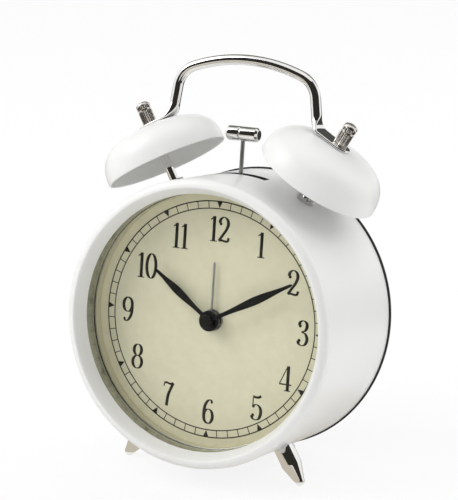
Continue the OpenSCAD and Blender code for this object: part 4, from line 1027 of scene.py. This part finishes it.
# Knobs: moulded in a glossier black plastic, fluted for the fingers above a plain collar and
# slightly dished on top, pushed on the setting arbors.
KNOB_BACK = FACE_Z - 0.4
KNOB_H = 7.0
KNOB_FLUTES = 24
KNOB_STEPS = 12
KNOB_FLUTE_DEPTH = 0.5
KNOB_COLLAR_H = 1.19
gloss_plastic = finish_of("gloss_plastic", grain, 2500.0, (0.012, 0.012, 0.0118), (0.018, 0.018, 0.0175),
                          (0.22, 0.3), (0.00001, 0.04))
knob_edge = eased([[KNOB_R, KNOB_H - 1.2], [KNOB_R, KNOB_H], [KNOB_R - 1.3, KNOB_H],
                   [KNOB_R - 1.9, KNOB_H - 0.3], [0.0, KNOB_H - 0.3]], reach=0.55, closed=False)
knob_section = np.concatenate([
    [[0.0, 0.0], [KNOB_R - 0.4, 0.0], [KNOB_R - 0.12, 0.1], [KNOB_R, 0.4], [KNOB_R, KNOB_COLLAR_H]],
    points_of(KNOB_R, np.linspace(KNOB_COLLAR_H + 0.1, KNOB_H - 1.3, 14)), knob_edge])
knob_grid = turned(knob_section, KNOB_FLUTES * KNOB_STEPS)
groove = np.abs(np.cos(np.pi * np.arange(KNOB_FLUTES * KNOB_STEPS) / KNOB_STEPS)) ** 3
run_in = smooth(np.clip((knob_section[:, 1] - KNOB_COLLAR_H) / 0.6, 0, 1))
fluted = np.where(knob_section[:, 0] > KNOB_R - 1.0, run_in, 0)
knob_grid[..., :2] *= (1 - KNOB_FLUTE_DEPTH / KNOB_R * groove[:, None] * fluted)[..., None]
for use, x in KNOB_X.items():
    knob = skin("fluted_knob_" + use, [(knob_grid * [1, 1, -1] + [x, 0, KNOB_BACK], SPUN)], gloss_plastic,
                use + "_setter", sharp_deg=50)
    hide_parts(use + "_knob")

# Switch: a moulded button with three ribs for the thumb, held in the cover's slot by its neck.
# It stands clear of the cover's face by the gap that lets it slide.
BUTTON_HALF = (4.2, 3.4)
BUTTON_BACK = FACE_Z - GAP
BUTTON_FACE = BUTTON_BACK - 1.6
NECK_HALF = (2.5, 2.0)
RIB_X = 2.016 * np.array([-1, 0, 1])
RIB_HALF = (0.42, BUTTON_HALF[1] - 0.35)
button = capped(lipped(rounded(0, SWITCH_Y, *BUTTON_HALF, corner=0.7), [
    (-0.5, BUTTON_BACK), (-0.15, BUTTON_BACK), (0.0, BUTTON_BACK - 0.15), (0.0, BUTTON_FACE + 0.4),
    (-0.06, BUTTON_FACE + 0.18), (-0.2, BUTTON_FACE + 0.05), (-0.4, BUTTON_FACE), (-0.6, BUTTON_FACE)]))
neck = lipped(rounded(0, SWITCH_Y, *NECK_HALF, corner=0.3),
              [(0.0, BUTTON_BACK - 0.1), (0.0, INNER_Z + 0.5)])
button_ribs = [lipped(rounded(x, SWITCH_Y, *RIB_HALF, corner=0.4), [
    (0.0, BUTTON_FACE + 0.1), (0.0, BUTTON_FACE - 0.2), (-0.05, BUTTON_FACE - 0.36),
    (-0.16, BUTTON_FACE - 0.46), (-0.3, BUTTON_FACE - 0.5)], shut=True) for x in RIB_X]
slide = skin("switch_button", [(grid, LOFT) for grid in (button, neck, *button_ribs)],
             gloss_plastic, "switch")
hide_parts("alarm_switch")

# Cover screws: plated steel with low round heads and a cross recess, driven into the pillars.
# Their heads stand a little proud of the cover's face.
CROSS_ARM = 1.4
CROSS_HALF = 0.3
CROSS_TRIM = 0.1
HEAD_FACE = FACE_Z - 0.2
HEAD_TRIM = 0.4
SCREW_END = INNER_Z + 2.0
plain_steel = finish_of("plain_steel", polish, 2600.0, (0.40, 0.40, 0.39), (0.48, 0.48, 0.465),
                        (0.3, 0.42), (0.00001, 0.08), metallic=1.0)


def cross(x, y):
    """Outline of a cross as anticlockwise points, for the amount that it grows all round."""
    def grown(grow):
        a, h = CROSS_ARM + grow, CROSS_HALF + grow
        return [x, y] + np.array([[a, -h], [a, h], [h, h], [h, a], [-h, a], [-h, h], [-a, h], [-a, -h],
                                  [-h, -h], [-h, -a], [h, -a], [h, -h]])
    return grown


screw_grids, screw_flats = [], []
for x, y in SCREW_PLACES:
    head, recess = circle(x, y, HEAD_SEAT_R, SCREW_STEPS), cross(x, y)
    shank = circle(x, y, SCREW_R, SCREW_STEPS)
    under = [(0.0, HEAD_SEAT_Z)]
    screw_grids += [
        lipped(head, [(-HEAD_TRIM, HEAD_FACE), (-0.28, HEAD_FACE), (-0.12, HEAD_FACE + 0.06),
                      (-0.03, HEAD_FACE + 0.18), (0.0, HEAD_FACE + 0.35)] + under),
        np.concatenate([lipped(head, under), lipped(shank, under + [(0.0, SCREW_END)], shut=True)]),
        lipped(recess, [(CROSS_TRIM, HEAD_FACE), (0.05, HEAD_FACE), (0.0, HEAD_FACE + 0.05),
                        (-0.06, HEAD_FACE + 0.6)], shut=True)]
    screw_flats.append(faced(head(-HEAD_TRIM), [recess(CROSS_TRIM)], HEAD_FACE))
screws = skin("cover_screws", [(grid, LOFT) for grid in screw_grids],
              plain_steel, "case", sharp_deg=30, flats=screw_flats)
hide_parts("back_screws")

# Works: the quartz movement with its brass train, the magnet and the hammer's steel work inside.
# These keep their CAD shapes and get the finish of turned brass, plain steel and moulded plastic.
turned_brass = finish_of("turned_brass", polish, 2600.0, (0.56, 0.41, 0.15), (0.66, 0.5, 0.21),
                         (0.2, 0.32), (0.00001, 0.08), metallic=1.0)
wound_copper = finish_of("wound_copper", polish, 3000.0, (0.42, 0.16, 0.06), (0.55, 0.23, 0.09),
                         (0.25, 0.4), (0.00002, 0.2), metallic=0.8)
board_green = finish_of("board_green", grain, 2500.0, (0.03, 0.13, 0.06), (0.04, 0.17, 0.08),
                        (0.3, 0.42), (0.00002, 0.15))
cell_wrap = finish_of("cell_wrap", grain, 2500.0, (0.11, 0.12, 0.135), (0.14, 0.15, 0.165),
                      (0.28, 0.38), (0.00001, 0.1))


def dress(material, *names):
    """Gives CAD nodes a finish in their material slots."""
    for name in names:
        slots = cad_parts[name].data.materials
        slots.clear()
        slots.append(material)


dress(plain_steel, "hammer_arm", "hammer_pin", "hammer_bracket", "magnet_core", "post_lock_nuts",
      "foot_lock_nuts", "centre_nut", "drive_motor", "quartz_can", "contact_spring", "contact_plate")
dress(turned_brass, "hammer_spring", "minute_arbor", "hour_wheel", "alarm_wheel", "set_arbor",
      "alarm_arbor", "drive_pinion", "pillars")
dress(wound_copper, "magnet_coil")
dress(board_green, "circuit_board")
dress(cell_wrap, "battery_cell")
dress(black_plastic, "movement_housing", "movement_plate")

# Stage: a pale floor that runs out of sight, white surroundings, soft lamps and the camera. Camera, glossy
# and transmitted rays see white, the lamps and a dimmer surround light the clock, and cards that only
# mirrors see give the metal its dark edges.
AMBIENT = 0.62
SEEN = ("Camera", "Glossy", "Transmission")
FLOOR_HALF = 6.0
FLOOR_GLOW = 0.85
AIM = Vector((0.0, 0.0, 0.07))
LAMP_SIZE = 0.9
CARD_STEPS = 33
DARK = (0.03, 0.028, 0.023)

world = bpy.data.worlds.new("white_room")
bpy.context.scene.world = world
world.use_nodes = True
room = world.node_tree
feed(room, room.nodes["Background"], {
    "Color": (1.0, 1.0, 1.0, 1.0), "Strength": spread(room, rays(room, *SEEN), 0.0, 1.0, AMBIENT, 1.0)})

floor_mesh = bpy.data.meshes.new("floor")
floor_mesh.from_pydata([(-FLOOR_HALF, -FLOOR_HALF, 0), (FLOOR_HALF, -FLOOR_HALF, 0),
                        (FLOOR_HALF, FLOOR_HALF, 0), (-FLOOR_HALF, FLOOR_HALF, 0)], [], [(0, 1, 2, 3)])
floor = placed("floor", floor_mesh)
paper, paper_tree = new_material("floor_paper")
paper_shader = paper_tree.nodes["Principled BSDF"]
feed(paper_tree, paper_shader, {"Base Color": (0.9, 0.9, 0.9, 1.0), "Roughness": 0.9,
                                "Specular IOR Level": 0.1})
show_mix(paper_tree, spread(paper_tree, rays(paper_tree, *SEEN), 0.0, 1.0, 0.0, FLOOR_GLOW), paper_shader,
         add_node(paper_tree, "Emission", {}))
floor_mesh.materials.append(paper)


def look(thing, place, direction):
    """Puts a lamp or camera at a place, looking along a direction."""
    thing.location = place
    thing.rotation_mode = "QUATERNION"
    thing.rotation_quaternion = direction.to_track_quat("-Z", "Y")


def lamp(name, place, power, mirrored=False):
    """Square soft lamp that faces the clock, with or without its own image in bright metal."""
    data = bpy.data.lights.new(name, "AREA")
    data.size = LAMP_SIZE
    data.energy = power
    light = placed(name, data)
    light.visible_glossy = mirrored
    look(light, place, AIM - Vector(place))


lamp("left_high_lamp", (-0.9, -0.6, 1.0), power=10.0, mirrored=True)
lamp("front_lamp", (0.5, -1.3, 0.5), power=1.2)
lamp("top_lamp", (0.0, 0.5, 1.2), power=3.0)
lamp("back_lamp", (0.9, 0.7, 0.6), power=4.6)


def card(name, azimuths, line, shade):
    """Curved card that shows only in mirror reflections: a line of (distance, height) pairs carried
    round the clock between two azimuths, counted from the front towards the right."""
    turn = np.radians(np.linspace(*azimuths, CARD_STEPS))[:, None]
    out, up = np.asarray(line, float).T
    points = points_of(out * np.sin(turn), -out * np.cos(turn), up)
    mesh = bpy.data.meshes.new(name)
    quads = grid_quads(*points.shape[:2], wrap_rows=False, wrap_columns=False)
    mesh.from_pydata(points.reshape(-1, 3).tolist(), [], quads.tolist())
    material, tree = new_material(name)
    clear = add_node(tree, "BsdfTransparent", {})
    show_mix(tree, rays(tree, "Glossy"), clear, add_node(tree, "Emission", {"Color": (*shade, 1.0)}))
    mesh.materials.append(material)
    placed(name, mesh)


card("dark_wall", (-47, 100), [(0.85, 0.0), (0.85, 1.35)], DARK)
card("dark_floor", (10, 100), [(0.1, 0.001), (0.85, 0.001)], DARK)
# The next two cards are painted shade for mirrors alone: the floor round and under the clock in its own
# shadow, a warm grey that the feet and the bow reflect.
card("floor_shade_for_mirrors", (-110, 10), [(0.07, 0.001), (0.5, 0.001)], (0.6, 0.54, 0.45))
card("clock_shadow_for_mirrors", (-180, 180), [(0.0, 0.0015), (0.07, 0.0015)], (0.62, 0.57, 0.48))
card("rear_floor", (140, 250), [(0.2, 0.001), (1.6, 0.001)], (0.05, 0.05, 0.047))
card("rear_high", (150, 240), [(1.0, 0.42), (1.0, 1.9)], (0.18, 0.18, 0.17))
card("rear_strip", (158, 190), [(0.98, 0.3), (0.98, 0.62)], (0.08, 0.08, 0.075))

camera_data = bpy.data.cameras.new("camera")
camera_data.lens = 165.6
camera_data.sensor_width = 36.0
camera_data.clip_end = 50.0
camera = placed("camera", camera_data)
look(camera, (0.34132, -0.67298, 0.28078), Vector((-0.43675, 0.86033, -0.26282)))
bpy.context.scene.camera = camera
bpy.context.scene.view_settings.view_transform = "Standard"
